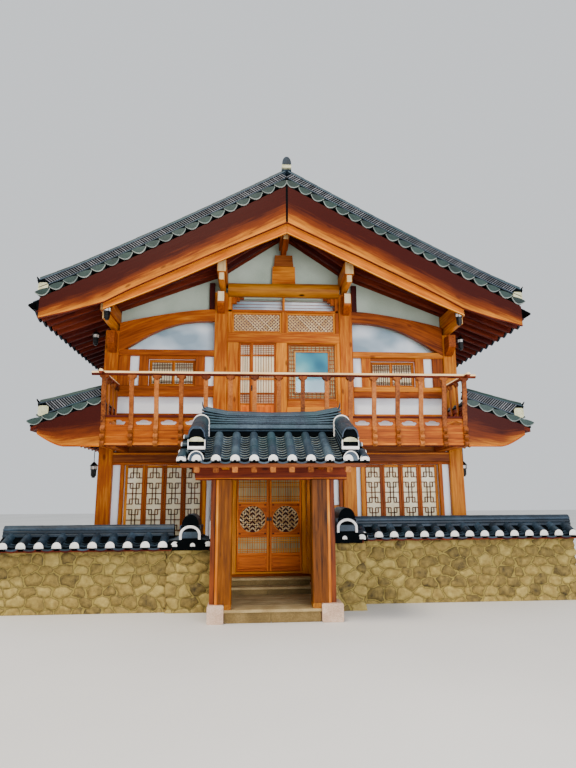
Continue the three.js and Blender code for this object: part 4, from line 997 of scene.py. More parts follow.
def cross_bars(x0: float, x1: float, z0: float, z1: float, columns: int, bar: float, y0: float,
               y1: float, rows: int = 0) -> list[Box]:
    """Bars of a grid, evenly inside its edge: upright ones, and level ones a little behind.

    Args:
        x0: Left edge.
        x1: Right edge.
        z0: Lower edge.
        z1: Upper edge.
        columns: Number of upright bars.
        bar: Width of a bar.
        y0: Front.
        y1: Back.
        rows: Number of level bars.

    Returns:
        Boxes of the bars.
    """
    grid = [(*about(x, bar / 2), y0, y1, z0, z1) for x in np.linspace(x0, x1, columns + 2)[1:-1]]
    return grid + [(x0, x1, y0 + 0.004, y1, *about(z, bar / 2))
                   for z in np.linspace(z0, z1, rows + 2)[1:-1]]


def surround(x0: float, x1: float, z0: float, z1: float, wide: float, y0: float,
             y1: float) -> list[Box]:
    """Four members round an opening, inside its edge: stiles over the height, rails between.

    Args:
        x0: Left edge.
        x1: Right edge.
        z0: Lower edge.
        z1: Upper edge.
        wide: Width of a member.
        y0: Front.
        y1: Back.

    Returns:
        Boxes of the four members.
    """
    rows = [(x0, x0 + wide, z0, z1), (x1 - wide, x1, z0, z1),
            (x0 + wide, x1 - wide, z0, z0 + wide), (x0 + wide, x1 - wide, z1 - wide, z1)]
    return [(a, b, y0, y1, c, d) for a, b, c, d in rows]


@dataclass
class LatticeWindows:
    """Ground windows of four paper-backed lattice leaves, and the small upper windows."""

    ground_place: Box = (1.66, 3.22, 0.95, 2.60)
    upper_place: Box = (1.87, 2.83, 4.24, 4.80)
    front: float = -3.44
    periods: int = 3

    def fret(self, middle: float, half: float, bottom: float, top: float) -> list[Box]:
        """Bars of one ground leaf.

        In each period a level bar crosses the field, a pair of uprights passes it, a short bar
        and two short uprights stand above and below it, and side bars end at the pair.

        Args:
            middle: Middle of the field.
            half: Half its width.
            bottom: Its foot.
            top: Its head.

        Returns:
            Boxes of the bars.
        """
        bar, pair, short, low, high = 0.0085, 0.034, 0.088, 0.105, 0.205
        lines: list[Box] = []
        for z in bottom + np.arange(self.periods + 1) * ((top - bottom) / self.periods):
            lines.append((-half, half, z, z))
            lines += [(s * pair, s * pair, z - high, z + high) for s in (-1, 1)]
            for s in (-1, 1):
                near, far = z + s * low, z + s * high
                lines.append((-short, short, near, near))
                lines += [(e * short, e * short, min(near, far), max(near, far)) for e in (-1, 1)]
                lines += [(-half, -pair, far, far), (pair, half, far, far)]
        rows = [(middle + a - bar * (a == b), middle + b + bar * (a == b), self.front + 0.006, -3.412,
                 max(c - bar * (c == d), bottom), min(d + bar * (c == d), top))
                for a, b, c, d in lines]
        return [row for row in rows if row[5] - row[4] > bar]

    def window(self, name: str, edges: list[Box], bars: list[Box], place: Box, near: float,
               seed: int, side: Side) -> None:
        """Puts the members, the bars and the paper of one window together on one half.

        Args:
            name: CAD node of the right window, without the side's word.
            edges: Boxes of the frame.
            bars: Boxes of the thin bars.
            place: Left, right, lower and upper edge.
            near: Front of the paper.
            seed: Seed of the tones.
            side: Half of the house.
        """
        x0, x1, z0, z1 = place
        piece = Piece(f"{name[:-6]}leaves_{side.word}")
        piece.blocks(edges, HONEY, 0.006, seed, side)
        piece.blocks(bars, THIN_BAR, 0.0, seed + 1, side)
        piece.blocks([(x0 + 0.02, x1 - 0.02, near, -3.402, z0 + 0.02, z1 - 0.02)], PAPER, 0.0,
                     seed + 2, side)
        piece.build(f"{name}_{side.word}")

    def ground(self, side: Side) -> None:
        """Four leaves: stiles and rails, a fret of thin dark bars, and paper.

        Args:
            side: Half of the house.
        """
        x0, x1, z0, z1 = self.ground_place
        edges, bars = [], []
        for a, b in spans(x0, x1, 4):
            edges += surround(a + 0.002, b - 0.002, z0, z1, 0.05, self.front, -3.40)
            bars += self.fret((a + b) / 2, (b - a) / 2 - 0.052, z0 + 0.05, z1 - 0.05)
        self.window("lattice_window", edges, bars, self.ground_place, -3.412, 60, side)

    def upper(self, side: Side) -> None:
        """Two leaves: four close level bars at the head, uprights, two level bars at the foot.

        Args:
            side: Half of the house.
        """
        x0, x1, z0, z1 = self.upper_place
        edges = surround(x0, x1, z0, z1, 0.024, -3.475, -3.40)
        bars = []
        bottom, top = z0 + 0.054, z1 - 0.054
        for a, b in ((x0 + 0.024, 2.330), (2.330, x1 - 0.024)):
            edges += surround(a, b, z0 + 0.024, z1 - 0.024, 0.030, -3.462, -3.41)
            bars += cross_bars(a + 0.030, b - 0.030, bottom, top, 7, 0.008, -3.448, -3.414)
            bars += [(a + 0.030, b - 0.030, -3.444, -3.414, *about(z, 0.005))
                     for z in (top - 0.032, top - 0.064, top - 0.096, top - 0.128, bottom + 0.030,
                               bottom + 0.060)]
        self.window("upper_window", edges, bars, self.upper_place, -3.414, 63, side)

    def build(self) -> None:
        """Builds the four windows of the front."""
        for side in Side:
            self.ground(side)
            self.upper(side)


ROOF_HALF = 4.95
VERGE = 4.72
RAFTER_ROWS = [(0.0, 7.600), (1.31, 6.697), (4.78, 5.326), (4.95, 5.259)]
# Side view of a tile tip at the end of a verge ridge, with half its width and thickness
TIP_PATH = np.array([(-0.07, 0, 0.02), (-0.01, -0.02, 0.05), (0.04, -0.04, 0.10),
                     (0.065, -0.06, 0.15)])
TIP_HALVES = ((0.07, 0.05, 0.03, 0.006), (0.03, 0.022, 0.014, 0.006))
Dressed = list[tuple[Patch, Finish]]


def bed(x: Array) -> Array:
    """Top of the roof boarding: 8.2 less 0.57 of the distance, easing by a square term."""
    away = np.abs(x)
    return 8.2 - 0.57 * away + 0.008 * away**2


def raised(line: Array, lift: Array) -> Array:
    """The path moved up by one height, or by one for each point."""
    return np.asarray(line, float) + at(0, 0, lift)


def half_round(radius: float, wall: float, sides: int = 6) -> Array:
    """Section of a cover tile: a half circle of so many sides over a flat foot a wall below."""
    return np.concatenate([arc(radius, radius, sides + 1), [[-radius, -wall], [radius, -wall]]])


def trough(half: float, sag: float, wall: float, sides: int = 4) -> Array:
    """Section of a pan tile: a sagging arc of a half chord, and the same arc a wall below.

    Args:
        half: Half the chord.
        sag: Depth of the arc.
        wall: Thickness.
        sides: Straight parts of an arc.

    Returns:
        Section as points x 2.
    """
    u = np.linspace(half, -half, sides + 1)
    v = -sag * (1 - (u / half) ** 2)
    return np.concatenate([np.stack([u, v], axis=-1), np.stack([u[::-1], v[::-1] - wall], axis=-1)])


def stepped(points: Array, tiles: int) -> tuple[Array, Array]:
    """Cuts a path into tiles, with two path points 2 mm apart at every joint.

    Args:
        points: Path as points x 3.
        tiles: Number of tiles.

    Returns:
        The path, and each point's share of its tile.
    """
    reach = reached(points)
    edge = np.linspace(0, reach[-1], tiles + 1)
    places = np.stack([edge[:-1] + 0.001, edge[1:] - 0.001], axis=-1).reshape(-1)
    return at(*(np.interp(places, reach, points[:, i]) for i in range(3))), np.tile([0.0, 1.0], tiles)


def lapped(section: Array, points: Array, tiles: int, seed: int, swell: float = 0.05) -> Patch:
    """One row of lapped tiles along a path, each wider at its lower end by a swell."""
    line, share = stepped(points, tiles)
    return carried(section * (1 + swell * share)[:, None, None], line, seed)


def tile_rows(path: Array, offsets: Array, section: Array, tiles: int, swell: float, lift: float,
              seed: int) -> Patch:
    """Rows of lapped tiles, one body a row: each tile swells and rises towards its lower end.

    Args:
        path: Path of the first row, from the top down.
        offsets: Step from the first row to each row, as rows x 3.
        section: Section of a tile.
        tiles: Tiles in a row.
        swell: Share by which a tile is wider at its lower end.
        lift: Height by which its lower end stands up.
        seed: Seed of the tones.

    Returns:
        The rows as one patch, with a tone for each tile.
    """
    line, share = stepped(path, tiles)
    profile = section[None] * (1 + swell * share)[:, None, None]
    profile[..., 1] += lift * share[:, None]
    patch = carried(profile, line[None] + offsets[:, None], seed)
    tone = np.random.default_rng(RANDOM_SEED + seed).uniform(0, 1, (len(offsets), tiles))
    patch.tone = np.repeat(tone, 2 * section.shape[0])
    return patch


def end_caps(centres: Array, radius: float, out: Array, depth: float, seed: int,
             drop: float = 0.004) -> Patch:
    """Domed ends of cover tiles: half circles that swell outwards, one for each centre.

    Args:
        centres: Middle of the foot of each half circle.
        radius: Radius of the half circle.
        out: Direction that the ends face.
        depth: Height of the dome.
        seed: Seed of the tones.
        drop: How far the plaster reaches below the middle.

    Returns:
        The ends as one patch.
    """
    share = np.array([0.0, 0.35, 0.75, 1.0])
    profile = half_round(radius, drop, 8) * np.sqrt(1 - share**2 * 0.82)[:, None, None]
    paths = centres[:, None] + unit(np.asarray(out, float)) * (share * depth)[:, None]
    return carried(profile, paths, seed)


def tongues(starts: Array, out: Array, half: float, sag: float, lift: float, drop: float,
            seed: int) -> Patch:
    """Hanging front edges of the lowest pan tiles: an arc above and a half ellipse below.

    Args:
        starts: Back of each tongue on the bed line.
        out: Step from the back to the front.
        half: Half the width.
        sag: Depth of the upper arc.
        lift: Height of the upper arc's ends over the line.
        drop: Depth of the half ellipse.
        seed: Seed of the tones.

    Returns:
        The tongues as one patch.
    """
    u = np.linspace(-1, 1, 9)
    upper = np.stack([u * half, lift - sag * (1 - u**2)], axis=-1)
    lower = np.stack([u * half, lift - 0.012 - drop * np.sqrt(1 - u**2)], axis=-1)
    return prisms(np.concatenate([upper[::-1], lower[1:-1]]), starts, starts + np.array(out), seed)


def scallops(centres: Array, spin: Array, sag: float, seed: int, half: float = 0.142) -> Dressed:
    """Shell-shaped tile ends along a verge: a pale rim round a crescent of clay.

    Args:
        centres: Middle of the chord of each shell, on the front face.
        spin: Direction from the shell's belly to its chord.
        sag: Depth of the shell.
        seed: Seed of the tones.
        half: Half the chord.

    Returns:
        Patches with their finishes.
    """
    u = np.linspace(-1, 1, 9)
    belly = np.stack([u * half, -(sag + 0.016) * (1 - u**2)], axis=-1)
    crown = np.stack([u[::-1] * half, 0.012 + 0.020 * (1 - u**2)], axis=-1)
    rim, front, back = (centres + [0, out, 0] for out in (0.02, 0.012, 0.26))
    return [(prisms(trough(half, sag, 0.017, 7), centres, rim, seed, spin), RIM),
            (prisms(np.concatenate([belly, crown]), front, back, seed + 1, spin), SHELL)]


def slips(middle: Array, lean: Array, tall: Array, half: float, seed: int) -> Dressed:
    """Thin tiles on edge along a verge: each stands about its middle, leaning by an angle."""
    top = at(np.cos(lean) * tall, 0, np.sin(lean) * tall)
    return [(prisms(oblong(half, 0.0085), middle - top, middle + top, seed, (1, 0, 0.3)), SLIP)]


def ridge_tip(x: float, y: float, z: float, seed: int) -> Dressed:
    """Raised tile tip at the end of a verge ridge, with the mortar block under it.

    Args:
        x: Place along X.
        y: Place along Y.
        z: Height.
        seed: Seed of the tones.

    Returns:
        Tip and block with their finishes.
    """
    block = (x - 0.17, x + 0.015, y - 0.10, y + 0.15, z - 0.17, z + 0.02)
    return [(carried(oblong(*TIP_HALVES), TIP_PATH + [x, y, z], seed), HOLLOW),
            (squared([block], 0.03, seed + 1), MORTAR)]


def add_verges(piece: Piece, fronts: list[Dressed], side: Side) -> None:
    """Adds parts made as front right verges, the second one turned to the back.

    Args:
        piece: Piece that gets the parts.
        fronts: Parts of the front verge and of the one for the back.
        side: Half of the house.
    """
    for end, parts in enumerate(fronts):
        for patch, finish in parts:
            piece.add(mirrored(patch, 0.0, 1) if end else patch, finish, side)


@dataclass
class MainRoof:
    """Two tiled slopes, their eaves, the verge ridges and the ridge on top."""

    pitch: float = 0.314
    rows: int = 29
    scallop_pitch: float = 0.253

    def slope_path(self, x0: float, x1: float, lift: float, y: float) -> Array:
        """Path down the right slope at a height over the bed."""
        xs = np.linspace(x0, x1, 15)
        return at(xs, y, bed(xs) + lift)

    def slope(self, side: Side) -> None:
        """Cover and pan tiles, the bed under them, eave ends and both verges of one slope.

        Args:
            side: Half of the house.
        """
        piece = Piece(f"roof_tiles_{side.word}")
        ys = (np.arange(self.rows) - (self.rows - 1) / 2) * self.pitch
        middles = (ys[:-1] + ys[1:]) / 2
        for rows, section, tiles, swell, rise, end, seed in (
                (ys, half_round(0.078, 0.03), 17, 0.07, 0.004, 4.905, 100),
                (middles, trough(self.pitch / 2 - 0.03, 0.045, 0.018), 30, 0.0, 0.020, 4.92, 101)):
            path = self.slope_path(0.12, end, 0.035, 0.0)
            piece.add(tile_rows(path, at(0, rows, 0), section, tiles, swell, rise, seed), TILE, side)
        # Past the rafters' ends the bed is thin, so that the tongues hang free of it
        xs = np.array([0.0, 0.17, 0.9, 1.7, 2.5, 3.3, 4.15, 4.78, 4.80, 4.95])
        low = np.maximum(table(RAFTER_ROWS, xs) + 0.121, bed(xs) - 0.9)
        low = np.where(xs > 4.79, bed(xs) - 0.03, low)
        piece.add(strip(xs, low, bed(xs) + 0.004, -4.617, 4.617, 102), HOLLOW, side)
        foot = bed(ROOF_HALF)
        piece.add(end_caps(at(4.918, ys, foot + 0.05), 0.074, (1, 0, 0), 0.02, 103, 0.03), TILE, side)
        piece.add(tongues(at(4.908, middles, foot), (0.03, 0, -0.012), 0.125, 0.045, 0.03, 0.26, 104),
                  COPING, side)
        add_verges(piece, [self.verge()] * 2, side)
        piece.build(f"roof_{side.word}", sharp=40)

    def verge(self) -> Dressed:
        """Two rows of scallops, slips between thin layers, a round cap and the raised tip.

        Returns:
            Parts of the verge with their finishes.
        """
        parts: Dressed = []
        for row, (lift, out, sag, last) in enumerate(((0.128, VERGE - 0.005, 0.098, 4.75),
                                                      (0.212, 4.672, 0.070, 4.35))):
            xs = np.arange(0.0, last, self.scallop_pitch) + self.scallop_pitch / 2 + row * 0.126
            tilt = np.arctan(-0.57 + 0.016 * xs) + math.radians(8)
            # The last shell hangs lower, past the end of the ridge
            fall = np.where(xs > 4.7, 0.07, 0.0)
            parts += scallops(at(xs, -out, bed(xs) + lift - fall), at(-np.sin(tilt), 0, np.cos(tilt)),
                              sag, 110 + 3 * row)
        line = self.slope_path(0.03, 4.75, 0.0, -4.56)
        line = raised(line, np.maximum(line[:, 0] - 4.15, 0) * 0.0625)
        parts += [(carried(oblong(half, thick), raised(line, lift), seed), finish)
                  for half, lift, thick, finish, seed in (
                      (0.115, 0.215, 0.135, HOLLOW, 120), (0.140, 0.185, 0.008, TILE, 121),
                      (0.140, 0.345, 0.010, TILE, 122))]
        xs = np.arange(0.06, 4.60, 0.042)
        middle = at(xs, -4.565, bed(xs) + np.maximum(xs - 4.15, 0) * 0.0625 + 0.265)
        parts += slips(middle, np.arctan(-0.57 + 0.016 * xs) + math.radians(62), 0.082, 0.125, 123)
        parts.append((lapped(half_round(0.088, 0.012, 8), raised(line, 0.352), 16, 124), SHELL))
        return parts + ridge_tip(4.75, -4.60, bed(4.75) + 0.30, 125)

    def layer(self, reach: float, z: float) -> Array:
        """Path of a layer of the ridge out to a reach, rising at both ends."""
        ys = np.linspace(-reach, reach, 61)
        return at(0, ys, 0.10 * np.clip((np.abs(ys) - 4.18) / 0.52, 0, 1) ** 1.5 + z)

    def ridge(self) -> None:
        """Stack of lapped thin tiles with a round row on top, raised and closed at both ends.

        The lower layers stop behind the verges; the upper ones run out to the gable as a finial.
        """
        piece = Piece("ridge_stack")
        piece.add(carried(oblong(0.15, 0.13), self.layer(4.40, 8.30), 130), HOLLOW)
        for number in range(6):
            half = 0.168 - 0.009 * number + 0.008 * (number % 2)
            level = self.layer(4.42 if number < 3 else 4.64, 8.352 + 0.052 * number)
            # Towards the gable the stack narrows to the width of the finial
            wide = half * np.interp(np.abs(level[:, 1]), [4.30, 4.52], [1.0, 0.68])
            level = raised(level, 0.004 * np.sin(level[:, 1] * (3.1 + number) + number))
            piece.add(carried(oblong(wide, wide * 0 + 0.017, 0.006), level, 131 + number), TILE)
        piece.add(carried(oblong(0.09, 0.075), self.layer(4.62, 8.575), 140), HOLLOW)
        piece.add(lapped(half_round(0.094, 0.015, 8), self.layer(4.40, 8.652), 28, 141), TILE)
        for end in (-1, 1):
            piece.blocks([(-0.098, 0.098, end * 4.44, end * 4.70, 8.605, 8.685)], MORTAR, 0.014, 142)
            # The finial is a tall round-topped tile
            piece.add(prisms(half_round(0.094, 0.004, 12) * [1.0, 1.72], (0, end * 4.42, 8.687),
                             (0, end * 4.715, 8.687), 143), COPING)
        piece.build("main_ridge", sharp=40)

    def build(self) -> None:
        """Builds both slopes and the ridge."""
        for side in Side:
            self.slope(side)
        self.ridge()


@dataclass
class RoofTimbers:
    """Kinked rafters with boards between them, squared purlins on bearers, and bargeboards."""

    pitch: float = 0.3091
    count: int = 14
    stations: tuple[Pair, ...] = ((0.0, 7.660), (1.31, 6.757), (4.78, 5.386))
    board_low: tuple[Pair, ...] = (
        (0, -0.82), (0.70, -0.765), (1.43, -0.705), (2.1, -0.672), (2.76, -0.648), (3.1, -0.645),
        (3.53, -0.668), (4.09, -0.56), (4.72, -0.41))
    under_low: tuple[Pair, ...] = (
        (0, -1.033), (0.74, -0.955), (1.43, -0.92), (2.48, -0.87), (3.54, -0.79))

    def rafters(self, side: Side) -> None:
        """Rafters in two straight lengths, the soffit boards over them, purlins and bearers.

        Args:
            side: Half of the house.
        """
        piece = Piece(f"rafters_and_purlins_{side.word}")
        ys = np.arange(-self.count, self.count + 1) * self.pitch
        lines = [at(x, ys, z) for x, z in self.stations]
        for number in range(2):
            piece.add(prisms(oblong(0.045, 0.06, 0.012), lines[number], lines[number + 1],
                             150 + number), DARK, side)
        xs = np.array([0.0, 1.31, 2.45, 3.6, 4.79])
        under = table(RAFTER_ROWS, xs) + 0.104
        # Boards run up the slope, each 0.155 m wide, with a fine open joint between them
        for i, (a, b) in enumerate(spans(-15 * self.pitch, 15 * self.pitch, 60, 0.003)):
            if abs(a + b) / 2 < 4.6:
                piece.add(strip(xs, under, under + 0.018, a, b, 160 + i), DARK, side)
        for x, top, end in ((1.31, 6.687, 4.36), (3.56, 5.798, 4.43)):
            piece.blocks([(*about(x, 0.055), *about(0, end - 0.03), top - 0.41, top - 0.25),
                          (*about(x, 0.095), *about(0, end), top - 0.25, top + 0.03)], HONEY, 0.012,
                         241, side)
            # Sawn ends are paler than the planed sides
            rows = [(*about(x, 0.083), y, y + 0.005, top - 0.238, top + 0.018)
                    for y in (-end - 0.001, end - 0.004)]
            rows += [(*about(x, 0.048), y, y + 0.005, top - 0.402, top - 0.258)
                     for y in (-end + 0.029, end - 0.034)]
            piece.blocks(rows, END_GRAIN, 0.0, 243, side)
        piece.build(f"rafters_{side.word}")

    def ridge_purlin(self) -> None:
        """Squared purlin on its bearer under the ridge."""
        piece = Piece("ridge_beam")
        piece.blocks([(-0.055, 0.055, -4.36, 4.36, 7.175, 7.335),
                      (-0.095, 0.095, -4.36, 4.36, 7.335, 7.53)], HONEY, 0.01, 242)
        for y in (-4.361, 4.356):
            piece.blocks([(-0.085, 0.085, y, y + 0.005, 7.345, 7.52),
                          (-0.048, 0.048, y, y + 0.005, 7.183, 7.328)], END_GRAIN, 0.0, 244)
        piece.build("ridge_purlin")

    def bargeboards(self, end: int, word: str) -> None:
        """Broad upper boards, with painted shade that darkens them under the tiles, and a paler lower
        pair behind them.

        Args:
            end: -1 for the front gable and 1 for the back one.
            word: Word for the end in the piece's name.
        """
        piece = Piece(f"bargeboards_{word}")
        wide, narrow = np.linspace(0.004, 4.72, 40), np.linspace(0.004, 3.54, 30)
        low = bed(wide) + table(self.board_low, wide)
        under = bed(narrow) + table(self.under_low, narrow)
        for side in Side:
            for xs, bottom, top, near, far, seed, parts, finish in (
                    (wide, low, bed(wide) - 0.002, 4.70, 4.655, 250, 6, BOARD),
                    (wide, low - 0.004, low + 0.012, 4.706, 4.661, 252, 1, DARK),
                    (narrow, under, bed(narrow) - 0.5, 4.66, 4.62, 254, 2, PALE),
                    (narrow, under, under + 0.022, 4.663, 4.63, 255, 1, PALE)):
                piece.add(strip(xs, bottom, top, end * near, end * far, seed, parts, finish is BOARD),
                          finish, side)
        # The two upper boards meet in a dark upright joint
        piece.blocks([(-0.022, 0.022, end * 4.704, end * 4.60, 7.385, 8.19)], HOLLOW, 0.004, 256)
        piece.build(f"bargeboard_{word}")

    def build(self) -> None:
        """Builds the rafters, purlins and bargeboards."""
        for side in Side:
            self.rafters(side)
        self.ridge_purlin()
        self.bargeboards(-1, "front")
        self.bargeboards(1, "back")


def repeated(patch: Patch, offsets: Array, seed: int = 0) -> Patch:
    """Copies of a patch at several offsets, each with its own grain place and tone.

    Args:
        patch: Patch that is taken.
        offsets: One offset for each copy.
        seed: Seed of the tones.

    Returns:
        All copies as one patch.
    """
    copies, count = len(offsets), len(patch.points)
    random = np.random.default_rng(RANDOM_SEED + seed)
    step = (np.arange(copies) * count)[:, None, None]
    faces = [(face[None] + step).reshape(-1, face.shape[1]) for face in patch.faces]
    points = (patch.points[None] + offsets[:, None]).reshape(-1, 3)
    grain = (patch.grain[None] + random.uniform(-9, 9, (copies, 1, 3))).reshape(-1, 3)
    return Patch(points, faces, grain, np.repeat(random.uniform(0, 1, copies), count))


def slanting_bars(place: Box, pitch: float, half: float, y0: float, y1: float, seed: int) -> Patch:
    """Bars at 45 degrees both ways, cut to a rectangle: each lies on x + z or x - z = constant.

    Args:
        place: Left, right, lower and upper edge.
        pitch: Distance between bars along X.
        half: Half the width of a bar.
        y0: Front of the bars.
        y1: Back of the bars.
        seed: Seed of the tones.

    Returns:
        The bars as one patch.
    """
    x0, x1, z0, z1 = place
    steps = np.arange(x0 + pitch / 2, x1 + z1 - z0, pitch)
    start_x = np.minimum(steps, x1)
    end_z = np.minimum(z0 + (steps - x0), z1)
    end_x = steps - (end_z - z0)
    keep = (start_x - end_x) > 2 * half
    lines = [at(x, (y0 + y1) / 2, z)[keep]
             for x, z in ((start_x, z0 + (steps - start_x)), (end_x, end_z))]
    starts, ends = (np.concatenate([line, line * [-1, 1, 1] + [x0 + x1, 0, 0]]) for line in lines)
    section = oblong((y1 - y0) / 2, half)[..., ::-1] * [1, -1]
    return prisms(section, starts, ends, seed, INWARD)


@dataclass
class MiddleBay:
    """What fills the middle bay of the upper front: sliding doors, large window, lattice lights."""

    place: Box = (0.06, 1.13, 3.93, 5.17)
    rails: tuple[float, ...] = (3.86, 4.08, 4.39, 4.49, 4.90)

    def doors(self) -> None:
        """Two sliding leaves, the narrow one half behind the other.

        Each leaf has, from the top, a close grid, upright bars, a grid, upright bars, close level
        bars and a solid panel.
        """
        piece = Piece("balcony_door_leaves")
        levels = [*np.arange(4.935, 5.12, 0.042), 4.42, 4.455, *np.arange(3.905, 4.06, 0.036)]
        for x0, x1, y0, columns in ((-0.96, -0.69, -3.545, 3), (-0.70, -0.17, -3.56, 7)):
            y1, low, high = y0 + 0.035, x0 + 0.045, x1 - 0.045
            edges = surround(x0, x1, 3.23, 5.17, 0.045, y0, y1)
            edges += [(low, high, y0 + 0.002, y1, *about(z, 0.016)) for z in self.rails]
            bars = cross_bars(low, high, 3.88, 5.125, columns, 0.012, y0 + 0.006, y1 - 0.006)
            bars += [(low, high, y0 + 0.009, y1 - 0.006, *about(z, 0.006)) for z in levels]
            piece.blocks(edges, HONEY, 0.005, 300)
            piece.blocks(bars, LATTICE, 0.0, 301)
            piece.blocks([(low, high, y0 + 0.010, y1 - 0.004, 3.275, 3.845),
                          (low + 0.03, high - 0.03, y0 + 0.004, y0 + 0.02, 3.32, 3.80)],
                         DOOR_WOOD, 0.004, 302)
            piece.blocks([(low, high, y1 - 0.007, y1 - 0.003, 3.86, 5.14)], PAPER, 0.0, 303)
        piece.blocks([(-0.695, -0.665, -3.563, -3.555, 4.13, 4.25),
                      (-0.692, -0.672, -3.578, -3.56, 4.16, 4.22)], IRON, 0.002, 304)
        piece.build("balcony_doors")

    def window(self) -> None:
        """Large window: frame, a rail under it, and a border of fret bars round a clear centre."""
        piece = Piece("large_window")
        x0, x1, z0, z1 = self.place

        def inside(inset: float) -> Box:
            """The opening made smaller all round."""
            return (x0 + inset, x1 - inset, z0 + inset, z1 - inset)

        piece.blocks(surround(*self.place, 0.035, -3.55, -3.49), HONEY, 0.006, 310)
        piece.blocks([(x0, x1, -3.552, -3.49, 3.79, z0)], HONEY, 0.006, 309)
        bars = []
        for inset in (0.045, 0.090, 0.135):
            bars += surround(*inside(inset), 0.012, -3.53, -3.505)
        near, far = 0.045, 0.168
        bars += [(*about(x, 0.006), -3.526, -3.508, *z) for x in np.linspace(x0 + 0.09, x1 - 0.09, 11)
                 for z in ((z0 + near, z0 + far), (z1 - far, z1 - near))]
        bars += [(*x, -3.526, -3.508, *about(z, 0.006)) for z in np.linspace(z0 + 0.09, z1 - 0.09, 13)
                 for x in ((x0 + near, x0 + far), (x1 - far, x1 - near))]
        piece.blocks(bars, LATTICE, 0.0, 311)
        clear = inside(far)
        piece.blocks(surround(*clear, 0.016, -3.535, -3.50), PALE, 0.003, 312)
        sheet = inside(0.03)
        piece.blocks([sheet[:2] + (-3.503, -3.497) + sheet[2:]], DOOR_PAPER, 0.0, 313)
        piece.blocks([clear[:2] + (-3.507, -3.500) + clear[2:]], SKY_GLASS, 0.0, 314)
        piece.build()

    def transom(self) -> None:
        """Two lattice lights of slanting bars, and the stepped corner pieces of the arched light."""
        piece = Piece("transom_lights")
        for x0, x1 in ((-1.11, -0.05), (0.05, 1.11)):
            piece.blocks(surround(x0, x1, 5.40, 5.85, 0.04, -3.555, -3.50), HONEY, 0.005, 320)
            place = (x0 + 0.04, x1 - 0.04, 5.44, 5.81)
            piece.add(slanting_bars(place, 0.074, 0.0065, -3.54, -3.52, 321), TAN)
            piece.blocks([(x0 + 0.03, x1 - 0.03, -3.515, -3.505, 5.43, 5.82)], BACKING, 0.0, 322)
        steps = ((1.02, 1.11, 6.05), (0.95, 1.02, 6.10), (0.86, 0.95, 6.145))
        for side in Side:
            piece.blocks([(a, b, -3.56, -3.50, low, 6.19) for a, b, low in steps], HONEY, 0.012, 323,
                         side)
        # Blinds show as fine level lines behind the arched light
        piece.blocks([(-1.10, 1.10, -3.53, -3.515, *about(z, 0.004)) for z in (5.975, 6.045, 6.115)],
                     LATTICE, 0.0, 324)
        piece.build()

    def beam(self) -> None:
        """Log over the arched light, slightly waisted, and the king post that stands on it."""
        piece = Piece("log_and_king_post")
        xs = np.linspace(-1.2, 1.2, 13)
        wave = 0.006 * np.sin(xs * 2.1 + 0.4)
        radius = 0.157 + wave - 0.006 * np.cos(xs * 1.3)
        circle = arc(1, 1, 20, 2 * np.pi, False)
        path = at(xs, -3.558, 6.355 + wave * 0.5)
        piece.add(carried(circle[None] * radius[:, None, None], path, 330), WEATHERED)
        # The king post's upper part is in the shaded eave wood: painted shade under the purlin
        for low, high, z0, z1, finish, seed in ((0.255, 0.245, 6.50, 6.905, HONEY, 331),
                                                (0.215, 0.190, 6.913, 7.172, EAVE, 332)):
            outline = [(-high, z1), (-low, z0), (low, z0), (high, z1)]
            piece.add(plate(outline, [], -3.59, -3.48, seed), finish)
        piece.build("gable_beam_front")

    def build(self) -> None:
        """Builds what fills the bay."""
        self.doors()
        self.window()
        self.transom()
        self.beam()


